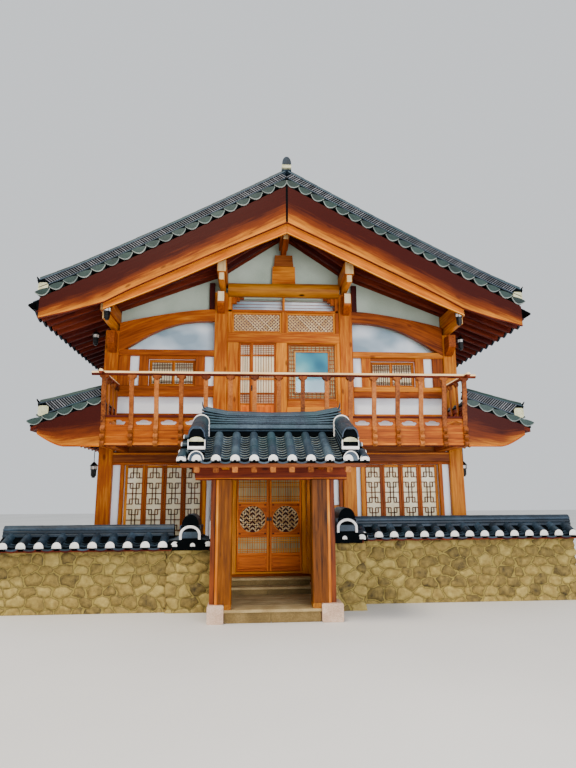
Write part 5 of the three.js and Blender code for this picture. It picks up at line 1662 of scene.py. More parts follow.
@dataclass
class FrontDoor:
    """Door frame and two leaves, each on its own body so that it swings with its joint."""

    left: float = -0.963
    meeting: float = -0.315
    axis: float = -0.31
    bottom: float = 0.505
    top: float = 2.38
    front: float = -3.46
    back: float = -3.415

    def frame(self) -> None:
        """Jambs, head and threshold round the doorway."""
        piece = Piece("door_surround")
        piece.blocks([(*x, -3.48, -3.32, *z) for x, z in (
            ((-1.20, -0.972), (0.46, 2.50)), ((0.352, 0.45), (0.46, 2.50)),
            ((-0.972, 0.352), (2.392, 2.50)), ((-0.972, 0.352), (0.46, 0.497)))], HONEY, 0.008, 340)
        piece.build("door_frame")

    def leaf(self, side: Side) -> None:
        """One leaf, on its own body: panel, barred field, round fret and a second barred field.

        Args:
            side: Half of the house.
        """
        x0, x1, near, far = self.left, self.meeting, self.front, self.back
        low, high = x0 + 0.032, x1 - 0.046
        edges = [(a, b, near, far, self.bottom, self.top) for a, b in ((x0, low), (high, x1))]
        edges += [(low, high, near + 0.002, far, *z) for z in (
            (self.bottom, 0.555), (0.80, 0.86), (1.155, 1.205), (1.82, 1.86), (2.33, self.top))]
        bars = [(low, high, near + 0.006, far - 0.014, *about(z, 0.007))
                for z in (0.885, 0.925, 1.055, 1.095, 1.13, 1.885, 1.922, 1.96, 2.15, 2.19, 2.24)]
        for z0, z1 in ((0.86, 1.155), (1.86, 2.33)):
            bars += cross_bars(low, high, z0, z1, 11, 0.014, near + 0.008, far - 0.014)
        panel = [(low, high, near + 0.014, far - 0.004, 0.555, 0.80),
                 (low + 0.03, high - 0.03, near + 0.003, near + 0.02, 0.585, 0.775)]
        back = [(low, high, far - 0.014, far - 0.006, *z) for z in ((0.85, 1.16), (1.85, 2.34))]
        parts = [(squared(edges, 0.006, 350), DOOR_WOOD), (squared(bars, 0.0, 351), PALE),
                 (squared(panel, 0.008, 352), DOOR_WOOD), (squared(back, 0.0, 353), DOOR_PAPER)]
        parts += self.fret((low + high) / 2, 1.5125, (high - low) / 2)
        ring = arc(0.022, 0.022, 15, 2 * np.pi)
        path = at(self.meeting - 0.024 + ring[:, 1], near - 0.004, 1.50 + ring[:, 0])
        parts.append((carried(arc(0.004, 0.004, 6, 2 * np.pi, False), path, 354, INWARD), IRON))
        lock = (x1 - 0.042, x1 - 0.006, near - 0.003, near + 0.002, 1.485, 1.55)
        parts.append((squared([lock], 0.003, 355), IRON))
        name = f"door_leaf_{side.word}"
        piece = Piece(f"front_{name}_wood", name)
        for patch, finish in parts:
            piece.add(patch if side is Side.LEFT else mirrored(patch, self.axis), finish)
        piece.build(f"front_door_{side.word}")

    def fret(self, x: float, z: float, half: float) -> Dressed:
        """Round fret in a solid field: short light bars at 45 degrees inside a ring.

        The bars lie on a square grid turned by 45 degrees. Bar j of line i is left out where
        i + 2 j divides by three, which gives the broken key pattern, and the middle cross stays.

        Args:
            x: Middle of the round.
            z: Height of its middle.
            half: Half the field.

        Returns:
            Patches with their finishes.
        """
        near, far = self.front + 0.006, self.back - 0.014
        level, deep = (near + far) / 2, (far - near) / 2
        pitch, radius = 0.0585, half - 0.016
        line, place = (part.reshape(-1) for part in np.meshgrid(np.arange(-5, 6), np.arange(-5, 6)))
        keep = ((line + 2 * place) % 3 != 0) | (line == 0)
        line, place = line[keep] * pitch, place[keep] * pitch
        ends = np.stack([place - 0.008, place + pitch + 0.008])
        inside = (np.hypot(line, ends) < radius).all(axis=0)
        ends, line = ends[:, inside], np.stack([line[inside]] * 2)
        turn = math.sqrt(0.5)
        starts, stops = np.concatenate([at(x + turn * (a - b), level, z + turn * (a + b))
                                        for a, b in ((ends, line), (line, ends))], axis=1)
        ring = arc(radius, radius, 33, 2 * np.pi)
        square = [(x - half, 1.20), (x + half, 1.20), (x + half, 1.825), (x - half, 1.825)]
        corners = [(*about(x + sx * (half - 0.03), 0.02), near + 0.0005, near + 0.006,
                    *about(z + sz * 0.282, 0.014)) for sx in (-1, 1) for sz in (-1, 1)]
        shade = [(*about(x, half), self.back - 0.0095, self.back - 0.006, 1.20, 1.825)]
        return [
            (prisms(oblong(0.0125, deep), starts, stops, 361, INWARD), TAN),
            (carried(oblong(0.009, deep + 0.003), at(x + ring[:, 0], level, z + ring[:, 1]), 360,
                     INWARD), DOOR_WOOD),
            (plate(square, [list(ring[:-1] + [x, z])], near + 0.003, far + 0.004, 364), DOOR_WOOD),
            (squared(corners, 0.0, 365), DARK), (squared(shade, 0.0, 366), DARK)]

    def build(self) -> None:
        """Builds the frame and both leaves."""
        self.frame()
        for side in Side:
            self.leaf(side)


@dataclass
class Balcony:
    """Floor on joists, and a railing of carved balusters over a panel with cloud openings."""

    front: float = -4.64
    half: float = 3.44
    count: int = 16
    span: float = 3.40
    rail_z: float = 4.225
    rail_y: float = -4.76
    lotus: tuple[Pair, ...] = ((4.085, 0.036), (4.110, 0.044), (4.130, 0.062), (4.145, 0.082),
                               (4.162, 0.086), (4.180, 0.080))
    side_cap: tuple[Pair, ...] = ((4.075, 0.016), (4.10, 0.030), (4.13, 0.044), (4.178, 0.04))
    # Flat foot and three round lobes of a cloud opening, from its middle to the right
    cloud_right: tuple[Pair, ...] = ((0.112, -0.038), (0.142, -0.010), (0.146, 0.008),
                                     (0.126, 0.022), (0.088, 0.022), (0.070, 0.038), (0.042, 0.048))
    # A baluster's slim shaft and its back, from the lobes up and down again
    shaft: tuple[Pair, ...] = (
        (-0.045, 3.26), (-0.066, 3.40), (-0.082, 3.54), (-0.118, 3.72), (-0.138, 3.90),
        (-0.148, 4.02), (-0.150, 4.10), (-0.156, 4.155), (-0.084, 4.155), (-0.090, 4.10),
        (-0.094, 4.02), (-0.096, 3.90), (-0.076, 3.74), (-0.034, 3.56), (-0.012, 3.42),
        (-0.004, 3.26), (-0.004, 2.875))

    def floor(self) -> None:
        """Boards along the front, on joists that run out from the wall."""
        piece = Piece("balcony_boards")
        wide = about(0, self.half - 0.032)
        boards = [(*wide, a, b, 3.10, 3.15) for a, b in spans(self.front, -3.48, 9, 0.002)]
        boards.append((*wide, self.front + 0.002, self.front + 0.05, 3.08, 3.10))
        joists = [(*about(x, 0.09), self.front, -3.48, 2.86, 3.10) for x in (-3.26, -1.34, 1.34, 3.26)]
        piece.blocks(boards, HONEY, 0.004, 400)
        piece.blocks(joists, HONEY, 0.012, 401)
        # The ledger under the floor is in the shaded eave wood: painted shade under the balcony
        piece.blocks([(*wide, -3.50, -3.482, 2.862, 3.099)], EAVE, 0.004, 402)
        piece.build("balcony_floor")

    def cloud(self, x: float) -> list[Pair]:
        """Loop of a cloud opening about a place along the panel.

        Args:
            x: Place along X.

        Returns:
            The loop.
        """
        left = [(-a, b) for a, b in self.cloud_right]
        loop = [left[0], *self.cloud_right, (0.0, 0.052), *left[:0:-1]]
        return [(x + a, 3.31 + b) for a, b in loop]

    def baluster(self) -> Patch:
        """A baluster: three round lobes at the foot, a slim leaning shaft and a flat back.

        The lobes are arcs: y = a centre line less a bulge times the sine of the share of the lobe.

        Returns:
            The baluster as a patch.
        """
        lobes = [(-0.036 - out * math.sin(math.pi * s), z0 + (z1 - z0) * s)
                 for z0, z1, out in ((2.875, 2.99, 0.055), (2.99, 3.115, 0.070), (3.115, 3.255, 0.060))
                 for s in np.linspace(0, 1, 6)[:-1]]
        outline = [(y + self.front - 0.006, z) for y, z in lobes + list(self.shaft)]
        return side_plate(outline, -0.040, 0.040, 414)

    def caps(self, piece: Piece, rows: tuple[Pair, ...], feet: Array, bevel: float,
             seed: int) -> None:
        """Lotus caps: a square cup that flares under the handrail, one on each baluster.

        Args:
            piece: Piece that gets the parts.
            rows: Heights with half widths.
            feet: Feet of the caps.
            bevel: Length cut from each side of a corner.
            seed: Seed of the tones.
        """
        heights, halves = np.array(rows).T
        section = oblong(halves, np.minimum(halves, 0.045), bevel)
        piece.add(carried(section, feet[:, None] + at(0, 0, heights), seed, INWARD), EAVE)

    def handrail(self, piece: Piece, start: Pair, end: Pair, seed: int) -> None:
        """Round handrail: pale above and dark red below, in two halves of a circle, a painted
        highlight on top and painted shade underneath.

        Args:
            piece: Piece that gets the parts.
            start: X and Y of one end.
            end: X and Y of the other end.
            seed: Seed of the tones.
        """
        # Painted light: the pale upper half stands for the lit top, the dark red lower half for the
        # shade underneath
        lower = half_round(0.040, 0.001, 8) * [-1, -1] - [0, 0.010]
        for section, finish in ((half_round(0.036, 0.010, 8), TAN), (lower, DARK)):
            piece.add(prisms(section, (*start, self.rail_z), (*end, self.rail_z), seed), finish)

    def railing(self) -> None:
        """Front panel, shelf, balusters with lotus caps and the round handrail."""
        piece = Piece("railing_front")
        front, half = self.front, self.half
        xs = -self.span + np.arange(self.count) * (2 * self.span / (self.count - 1))
        xs[1:-1] += 0.05
        holes = [self.cloud(float(x)) for x in (xs[:-1] + xs[1:]) / 2]
        outline = [(-half, 2.93), (half, 2.93), (half, 3.41), (-half, 3.41)]
        piece.add(plate(outline, holes, front - 0.028, front - 0.004, 410), HONEY)
        # Two trims, the lower edge, and fine level joints between the panel's boards
        for out, z0, z1, finish, bevel, seed in (
                (0.036, 2.895, 2.935, PALE, 0.006, 411), (0.056, 3.405, 3.445, DARK, 0.006, 411),
                (0.030, 2.872, 2.898, DARK, 0.003, 412)):
            piece.blocks([(-half, half, front - out, front - 0.001, z0, z1)], finish, bevel, seed)
        piece.blocks([(-half, half, front - 0.0285, front - 0.02, z, z + 0.005)
                      for z in (3.02, 3.16)], DARK, 0.0, 413)
        feet = at(xs, 0, 0)
        piece.add(repeated(self.baluster(), feet, 415), BALUSTER)
        self.caps(piece, self.lotus, feet + [0, self.rail_y, 0], 0.02, 420)
        self.handrail(piece, (-3.633, self.rail_y), (3.633, self.rail_y), 416)
        for x in (0.015 - half, half - 0.015):
            self.handrail(piece, (x, -4.96), (x, front - 0.0005), 417)
        piece.build("balcony_railing")

    def side_railing(self, side: Side) -> None:
        """Panel, shelf, balusters and handrail of a short side of the balcony.

        Args:
            side: Half of the house.
        """
        piece = Piece(f"railing_{side.word}")
        x = self.half - 0.015
        near, far = self.front + 0.0005, -3.602
        piece.blocks([(*about(x, 0.014), near, far, 2.895, 3.41)], HONEY, 0.004, 430, side)
        piece.blocks([(*about(x, 0.015), near, far, *z) for z in ((2.872, 2.90), (3.405, 3.445))],
                     PALE, 0.004, 431, side)
        ys = np.array([-4.29, -3.945, -3.65])
        piece.blocks([(*about(x, 0.015), *about(y, 0.030), 3.44, 4.10) for y in ys], BALUSTER, 0.006,
                     432, side)
        self.caps(piece, self.side_cap, at(side.value * x, ys, 0), 0.01, 433)
        self.handrail(piece, (side.value * x, near), (side.value * x, far), 434)
        piece.build(f"balcony_railing_{side.word}")

    def build(self) -> None:
        """Builds the floor and all railings."""
        self.floor()
        self.railing()
        for side in Side:
            self.side_railing(side)


@dataclass
class WingRoof:
    """Low tiled roof along each side of the house, with its end boards and rafters."""

    x_in: float = 3.44
    x_wall: float = 3.74
    x_out: float = 4.76
    y_front: float = -4.72
    y_back: float = 4.22
    wall: float = 3.603
    pitch: float = 0.302

    def line(self, x: Array) -> Array:
        """Top of the boarding: 3.676 less 0.355 of the distance from the inner edge."""
        return 3.676 - 0.355 * (x - self.x_in)

    def path(self, x0: float, x1: float, lift: float, y: float = 0.0, count: int = 6) -> Array:
        """Path down the slope at a height over the boarding."""
        xs = np.linspace(x0, x1, count)
        return at(xs, y, self.line(xs) + lift)

    def lengths(self, front: float, back: float) -> list[Box]:
        """Inner edge and Y span of the three lengths, the middle one stopping at the wall."""
        return [(self.x_in, front, -self.wall), (self.x_wall, -self.wall, self.wall),
                (self.x_in, self.wall, back)]

    def tiles(self, side: Side) -> None:
        """Cover and pan tiles, hanging tongues at the eave and a verge at each end.

        Args:
            side: Half of the house.
        """
        piece = Piece(f"side_roof_tiles_{side.word}")
        count = int((self.y_back - self.y_front - 0.5) / self.pitch)
        ys = (self.y_front + self.y_back) / 2 + (np.arange(count + 1) - count / 2) * self.pitch
        middles = (ys[:-1] + ys[1:]) / 2
        for rows, section, tiles, swell, rise, seed in (
                (ys, half_round(0.074, 0.02), 4, 0.07, 0.004, 500),
                (middles, trough(self.pitch / 2 - 0.03, 0.042, 0.018), 7, 0.0, 0.018, 502)):
            for start, y0, y1 in self.lengths(-9.0, 9.0):
                path = self.path(start + 0.01, self.x_out - 0.02, 0.035)
                places = at(0, rows[(rows >= y0) & (rows < y1)], 0)
                piece.add(tile_rows(path, places, section, tiles, swell, rise, seed), TILE, side)
        for x0, y0, y1 in self.lengths(self.y_front + 0.03, self.y_back - 0.03):
            xs = np.array([x0, self.x_out - 0.06])
            piece.add(strip(xs, self.line(xs), self.line(xs) + 0.03, y0, y1, 504), HOLLOW, side)
        x, foot = self.x_out, self.line(self.x_out)
        piece.add(end_caps(at(x - 0.022, ys, foot + 0.045), 0.072, (1, 0, 0), 0.018, 507, 0.02), TILE,
                  side)
        piece.add(tongues(at(x - 0.035, middles, foot), (0.03, 0, -0.008), 0.12, 0.042, 0.035, 0.055,
                          508), TILE, side)
        add_verges(piece, [self.verge(-self.y_front), self.verge(self.y_back)], side)
        piece.build(f"wing_roof_{side.word}", sharp=40)

    def verge(self, edge: float) -> Dressed:
        """Scallops, slips between thin layers and a cap; the stack grows towards the eave.

        Args:
            edge: Distance of the verge's face from the middle of the house.

        Returns:
            Patches with their finishes, made for a front end.
        """
        tilt = math.atan(-0.355) + math.radians(7)
        spin = (-math.sin(tilt), 0, math.cos(tilt))
        parts: Dressed = []
        for row, (lift, out, sag) in enumerate(((0.098, 0.005, 0.085), (0.165, 0.050, 0.06))):
            xs = np.arange(self.x_in, self.x_out - 0.25 - row * 0.1, 0.262) + 0.131 + row * 0.12
            parts += scallops(at(xs, out - edge, self.line(xs) + lift), spin, sag, 510 + 3 * row)
        line = self.path(self.x_in + 0.005, 4.56, 0.0, -edge + 0.14, 14)
        grow = np.interp(line[:, 0], [self.x_in, 4.3, 4.56], [0.0, 0.07, 0.10])
        parts.append((carried(oblong(grow * 0 + 0.105, 0.075 + grow / 2),
                              raised(line, 0.205 + grow / 2), 516), HOLLOW))
        parts += [(carried(oblong(0.118, 0.009), raised(line, lift), seed), TILE)
                  for lift, seed in ((0.15, 517), (0.28 + grow, 518))]
        xs = np.arange(self.x_in + 0.04, 4.38, 0.042)
        tall = 0.068 + np.interp(xs, [self.x_in, 4.3, 4.56], [0.0, 0.035, 0.05])
        middle = at(xs, -edge + 0.135, self.line(xs) + 0.147 + tall)
        parts += slips(middle, math.atan(-0.355) + math.radians(62), tall, 0.112, 519)
        cap = lapped(half_round(0.075, 0.02, 8), raised(line, 0.285 + grow), 4, 523)
        return parts + [(cap, SHELL)] + ridge_tip(4.56, -edge + 0.12, self.line(4.56) + 0.315, 524)

    def timbers(self, side: Side) -> None:
        """End boards with a curved foot, the wall plate, rafters and soffit boards.

        Args:
            side: Half of the house.
        """
        piece = Piece(f"side_roof_timbers_{side.word}")
        xs = np.concatenate([np.linspace(self.x_in, 4.10, 8), np.linspace(4.16, 4.56, 9)])
        low = 2.866 + 0.224 * np.clip((xs - 4.10) / 0.46, 0, 1) ** 1.4
        for y0, y1 in ((-4.70, -4.652), (4.152, 4.20)):
            # The end boards darken towards their top: painted shade under the tiles
            piece.add(strip(xs, low, self.line(xs) - 0.002, y0, y1, 530, 4, True), BOARD, side)
            piece.add(strip(xs, low, low + 0.03, y0 - 0.004, y1 + 0.001, 531), PALE, side)
        piece.blocks([(4.50, 4.56, -4.655, 4.155, 3.11, 3.24)], HONEY, 0.008, 532, side)
        ys = np.arange(-4.40, 4.10, 0.31)
        inner = np.where(np.abs(ys) < 3.66, self.x_wall, self.x_in)
        piece.add(prisms(oblong(0.04, 0.052, 0.01), at(inner, ys, self.line(inner) - 0.125),
                         at(4.60, ys, self.line(4.60) - 0.125), 533), DARK, side)
        for x0, y0, y1 in self.lengths(-4.655, 4.155):
            xs = np.array([x0, 4.70])
            deck = strip(xs, self.line(xs) - 0.075, self.line(xs) - 0.003, y0, y1, 534)
            piece.add(deck, DARK, side)
        piece.build(f"wing_frame_{side.word}")

    def build(self) -> None:
        """Builds both side roofs."""
        for side in Side:
            self.tiles(side)
            self.timbers(side)


@dataclass
class Gate:
    """Small roofed gate in front of the door: posts, beams, nine rafters and a tiled roof."""

    axis: float = -0.34
    tile_axis: float = -0.355
    y: float = -5.50
    pitch: float = 0.292
    eave: float = 0.945
    lintel: Pair = (-1.61, 0.92)
    rows: tuple[Pair, ...] = ((0.0, 2.965), (0.475, 2.715), (0.95, 2.478))
    verge_axis: float = 1.1925
    verge_top: tuple[Pair, ...] = ((0.04, 3.345), (0.87, 3.040))
    # Behind, the verge ridges stop short of the balcony
    verge_back: float = 0.435

    def line(self, away: Array) -> Array:
        """Top of the gate's roof bed at a distance from its ridge."""
        return table(self.rows, away)

    def posts(self, side: Side) -> None:
        """Square post with a painted highlight on its corner, its foot and the board that runs back
        beside it.

        Args:
            side: Half of the house.
        """
        piece = Piece(f"gate_post_{side.word}_timber")
        if side is Side.LEFT:
            post, foot, board, corner = (-1.26, -0.995), (-1.11, -0.995), (-1.345, -1.262), -1.26
        else:
            post, foot, board, corner = (0.315, 0.615), (0.315, 0.455), (0.617, 0.70), 0.57
        piece.blocks([post + (-5.643, -5.355, 0.28, 2.232), foot + (-5.643, -5.355, 0.20, 0.2795)],
                     WEATHERED, 0.014, 600 + side.value)
        # Painted highlight: a pale strip down the post's front corner, where its edge catches the
        # light
        piece.blocks([(corner, corner + 0.045, -5.645, -5.60, 0.281, 2.231)], PALE, 0.006, 602)
        piece.blocks([board + (-5.600, -4.45, 0.28, 2.232)], DARK, 0.008, 603)
        piece.blocks([board + (-5.608, -5.590, 0.281, 2.231)], LATTICE, 0.004, 604)
        piece.build(f"gate_post_{side.word}")

    def slab(self, sign: int, reach: float, lower: float, upper: float, x0: float, x1: float,
             seed: int) -> Patch:
        """Board or bed under the tiles of one slope, between two depths below the bed line.

        Args:
            sign: 1 for the slope at the back and -1 for the one in front.
            reach: Length of the slope from the ridge.
            lower: Depth of its underside.
            upper: Depth of its top.
            x0: Left edge.
            x1: Right edge.
            seed: Seed of the tones.

        Returns:
            The slab as a patch.
        """
        ds = np.array([0.0, 0.475, reach])
        line = at(0, self.y + sign * ds, self.line(ds))[:, 1:]
        return side_plate([*(line - [0, upper]), *(line - [0, lower])[::-1]], x0, x1, seed)

    def beams(self) -> None:
        """Lintel, king block, ridge beam, arms, eave purlins, deck boards and square rafters."""
        piece = Piece("gate_timbers")
        x0, x1, y = -1.77, 1.09, self.y
        piece.blocks([self.lintel + (*about(y, 0.11), 2.232, 2.45)], DARK, 0.014, 610)
        piece.blocks([self.lintel + (y - 0.112, y - 0.104, 2.250, 2.264)], PALE, 0.0, 612)
        rows = [(*about(self.axis, 0.08), *about(y, 0.06), 2.45, 2.68),
                (x0, x1, *about(y, 0.06), 2.68, 2.805)]
        rows += [(*about(x, 0.06), *about(y, 0.64), 2.40, 2.45) for x in (-1.11, 0.465)]
        rows += [self.lintel + (*about(y + s * 0.56, 0.04), 2.45, 2.54) for s in (-1, 1)]
        piece.blocks(rows, HONEY, 0.008, 611)
        xs = self.tile_axis + np.arange(-4, 5) * self.pitch
        for sign in (-1, 1):
            for i, (a, b) in enumerate(spans(x0, x1, 19, 0.002)):
                piece.add(self.slab(sign, 0.88, 0.079, 0.031, a, b, 620 + i), DARK)
            ends = [at(xs, y + sign * d, self.line(d) - 0.145) for d in (0.0, 0.475, 0.895)]
            for number in range(2):
                piece.add(prisms(oblong(0.042, 0.044, 0.006), ends[number], ends[number + 1],
                                 640 + number), BALUSTER)
            # The eave boards are in the shaded eave wood: painted shade under the gate's eaves
            piece.blocks([(x0, x1, y + sign * 0.899, y + sign * 0.875, 2.395, 2.468)], EAVE, 0.006,
                         643)
        piece.build("gate_beams")

    def roof(self) -> None:
        """Cover and pan tiles on both slopes, white plaster ends, verge ridges and the ridge."""
        piece = Piece("gate_roof_tiles")
        centres = self.tile_axis + np.arange(-4, 5) * self.pitch
        pans = (centres[:-1] + centres[1:]) / 2
        # One more short cover stands outside each verge ridge
        ends = np.concatenate([[-1.755], centres, [1.07]])
        foot = float(self.line(self.eave))
        round_tile, pan_tile = half_round(0.070, 0.03, 8), trough(0.100, 0.038, 0.016, 6)
        for sign in (-1, 1):
            away = np.linspace(0.02, self.eave - 0.055, 8)
            slope = at(0, self.y + sign * away, self.line(away))
            edge = self.y + sign * self.eave
            piece.add(tile_rows(raised(slope, 0.040), at(centres, 0, 0), round_tile, 3, 0.05, 0.004,
                                650), TILE)
            piece.add(tile_rows(raised(slope, 0.032), at(pans, 0, 0), pan_tile, 10, 0.0, 0.028, 652),
                      TILE)
            piece.add(self.rims(slope, pans), RIM)
            place = at(ends, edge - sign * 0.026, foot + 0.037)
            piece.add(end_caps(place, 0.0745, (0, sign, 0), 0.024, 653, 0.027), LIME)
            outer = place[[0, -1]]
            piece.add(prisms(round_tile, outer - [0, sign * 0.22, -0.105], outer, 659), TILE)
            piece.blocks([(*about(x, 0.022), edge, edge - sign * 0.01, foot + 0.008, foot + 0.028)
                          for x in ends], HOLLOW, 0.0, 655)
            piece.add(tongues(at(pans, edge - sign * 0.03, foot), (0, sign * 0.028, -0.004), 0.100,
                              0.040, 0.036, 0.052, 657), TILE)
            piece.add(self.slab(sign, 0.93, 0.029, -0.004, -1.82, 1.14, 656), HOLLOW)
            for end in (-1, 1):
                self.verge(piece, sign, end)
                self.outer_tiles(piece, sign, end)
        self.ridge(piece)
        piece.build("gate_roof", sharp=40)

    def rims(self, slope: Array, xs: Array) -> Patch:
        """Pale lips on the lower edges of the pan tiles, stepping down the slope.

        Args:
            slope: Path down the slope.
            xs: Places of the pan tiles along X.

        Returns:
            All lips as one patch.
        """
        places = raised(stepped(slope, 10)[0][1::2], 0.061)
        step = unit(slope[-1] - slope[0]) * 0.012
        starts = (places[None] + at(xs, 0, 0)[:, None]).reshape(-1, 3)
        return prisms(trough(0.098, 0.038, 0.010, 6), starts - step, starts + step * 0.2, 658)

    def verge(self, piece: Piece, sign: int, end: int) -> None:
        """Tall verge ridge on one end of one slope, with its lime collar and its faced end.

        Args:
            piece: Piece that gets the patches.
            sign: -1 for the street slope and 1 for the slope behind.
            end: -1 for the left end and 1 for the right end.
        """
        x = self.axis + end * self.verge_axis
        away = np.linspace(0.04, 0.895 if sign < 0 else self.verge_back, 9)
        base = at(x, self.y + sign * away, self.line(away))
        crest = table(self.verge_top, away)
        tall = crest - 0.10 - base[:, 2]
        top = raised(base, tall)
        piece.add(side_plate([*base[:, 1:], *top[::-1, 1:]], x - 0.118, x + 0.118, 660), HOLLOW)
        for layer in range(4):
            level = raised(base, tall * (0.30 + 0.20 * layer))
            piece.add(carried(oblong(0.128, 0.014, 0.005), level, 661 + layer), TILE)
        piece.add(lapped(half_round(0.127, 0.012, 10) * [1.0, 0.82], raised(top, -0.012),
                         3 if sign < 0 else 2, 666, 0.03), TILE)
        # The collar's inner leg runs down to the tiles
        collar_z = float(table(self.verge_top, 0.11)) - 0.118
        bow = arc(0.117 * -end, 0.105, 15)
        across = np.concatenate([[0.117 * -end], bow[:, 0], [0.117 * end]])
        height = np.concatenate([[2.955], collar_z + bow[:, 1], [collar_z - 0.04]])
        piece.add(carried(oblong(0.023, 0.024, 0.006), at(x + across, self.y + sign * 0.11, height),
                          667, INWARD), LIME)
        if sign < 0:
            self.verge_face(piece, x)

    def verge_face(self, piece: Piece, x: float) -> None:
        """Street end of a verge ridge: a black half round over stacked blocks and a white band.

        Args:
            piece: Piece that gets the parts.
            x: Place along X.
        """
        front = self.y - 0.925
        piece.blocks([(*about(x, 0.116), front, front + 0.05, 2.722, 2.790)], HOLLOW, 0.010, 670)
        piece.blocks([(*about(x, 0.134), front, front + 0.05, 2.672, 2.720)], LIME, 0.010, 671)
        for radius, wall, sides, rise, z, out, finish, seed in (
                (0.118, 0.004, 10, 0.58, 2.794, 0.002, MORTAR, 673),
                (0.132, 0.004, 12, 1.26, 2.860, 0.012, HOLLOW, 674),
                (0.112, 0.030, 12, 1.1, 2.520, 0.004, TILE, 676)):
            piece.add(prisms(half_round(radius, wall, sides) * [1.0, rise], (x, front + 0.05, z),
                             (x, front + out, z), seed), finish)
        for wide, high, z, out, half, deep, finish, seed in (
                (0.124, 0.158, 2.860, 0.014, 0.009, 0.012, COPING, 675),
                (0.114, 0.125, 2.518, 0.006, 0.007, 0.008, LIME, 677)):
            bow = arc(wide, high, 17)
            path = at(x + bow[:, 0], front + out, z + bow[:, 1])
            piece.add(carried(oblong(half, deep), path, seed, INWARD), finish)
        # Lime runs down both edges of the olive block
        piece.blocks([(*about(x + s * 0.127, 0.007), front + 0.002, front + 0.05, 2.718, 2.820)
                      for s in (-1, 1)], LIME, 0.004, 678)

    def outer_tiles(self, piece: Piece, sign: int, end: int) -> None:
        """Short tiles outside a verge ridge, laid sideways, with white ends facing outwards.

        Args:
            piece: Piece that gets the parts.
            sign: 1 for the slope at the back and -1 for the one in front.
            end: 1 for the right end and -1 for the left end.
        """
        inner, outer = self.axis + end * 1.30, self.axis + end * 1.465
        away = np.arange(0.10, 0.92, self.pitch)
        pans = away[:-1] + self.pitch / 2
        for places, lift, section, seed in ((away, 0.020, half_round(0.052, 0.015, 8), 680),
                                            (pans, 0.022, trough(0.085, 0.03, 0.016), 682)):
            line = at(0, self.y + sign * places, self.line(places) + lift)
            piece.add(prisms(section, line + [inner, 0, 0], line + [outer, 0, 0], seed), TILE)
        caps = at(outer, self.y + sign * away, self.line(away) + 0.020)
        piece.add(end_caps(caps, 0.057, (end, 0, 0), 0.022, 681, 0.018), LIME)

    def ridge(self, piece: Piece) -> None:
        """Two courses, thin layers with staggered joints, and ends that rise to thin spikes.

        Args:
            piece: Piece that gets the parts.
        """
        xs = np.linspace(-1.195, 1.195, 49)
        high = np.interp(np.abs(xs), [0, 0.75, 1.17, 1.195], [3.330, 3.352, 3.435, 3.452])
        low = 2.955
        line = at(self.axis + xs, self.y, 0)
        core = oblong(xs * 0 + 0.066, (high - low - 0.02) / 2)
        piece.add(carried(core, raised(line, (high + low) / 2), 690), HOLLOW)
        roll = arc(0.090, 0.026, 12, 2 * np.pi, False)
        piece.add(carried(roll, raised(line, 3.058), 691), COPING)
        piece.add(carried(oblong(0.092, 0.038, 0.012), raised(line, 3.126), 692), TILE)
        for layer in range(5):
            level = raised(line, 3.172 + (high - 3.172) * ((layer + 0.5) / 5))
            piece.add(lapped(oblong(0.086 - 0.004 * layer, 0.013, 0.004), level, 11 + layer % 2,
                             693 + layer, 0.10), TILE)
        piece.add(carried(half_round(0.060, 0.012, 6), raised(line, high - 0.006)[1:-1], 699), TILE)
        halves = ((0.020, 0.016, 0.011, 0.005), (0.050, 0.038, 0.022, 0.006))
        for end in (-1, 1):
            out, up = np.array([(1.12, 3.425), (1.165, 3.450), (1.186, 3.500), (1.193, 3.565)]).T
            path = at(self.axis + end * out, self.y, up)
            piece.add(carried(oblong(*halves), path, 700, INWARD), COPING)

    def build(self) -> None:
        """Builds the posts, beams and roof."""
        for side in Side:
            self.posts(side)
        self.beams()
        self.roof()


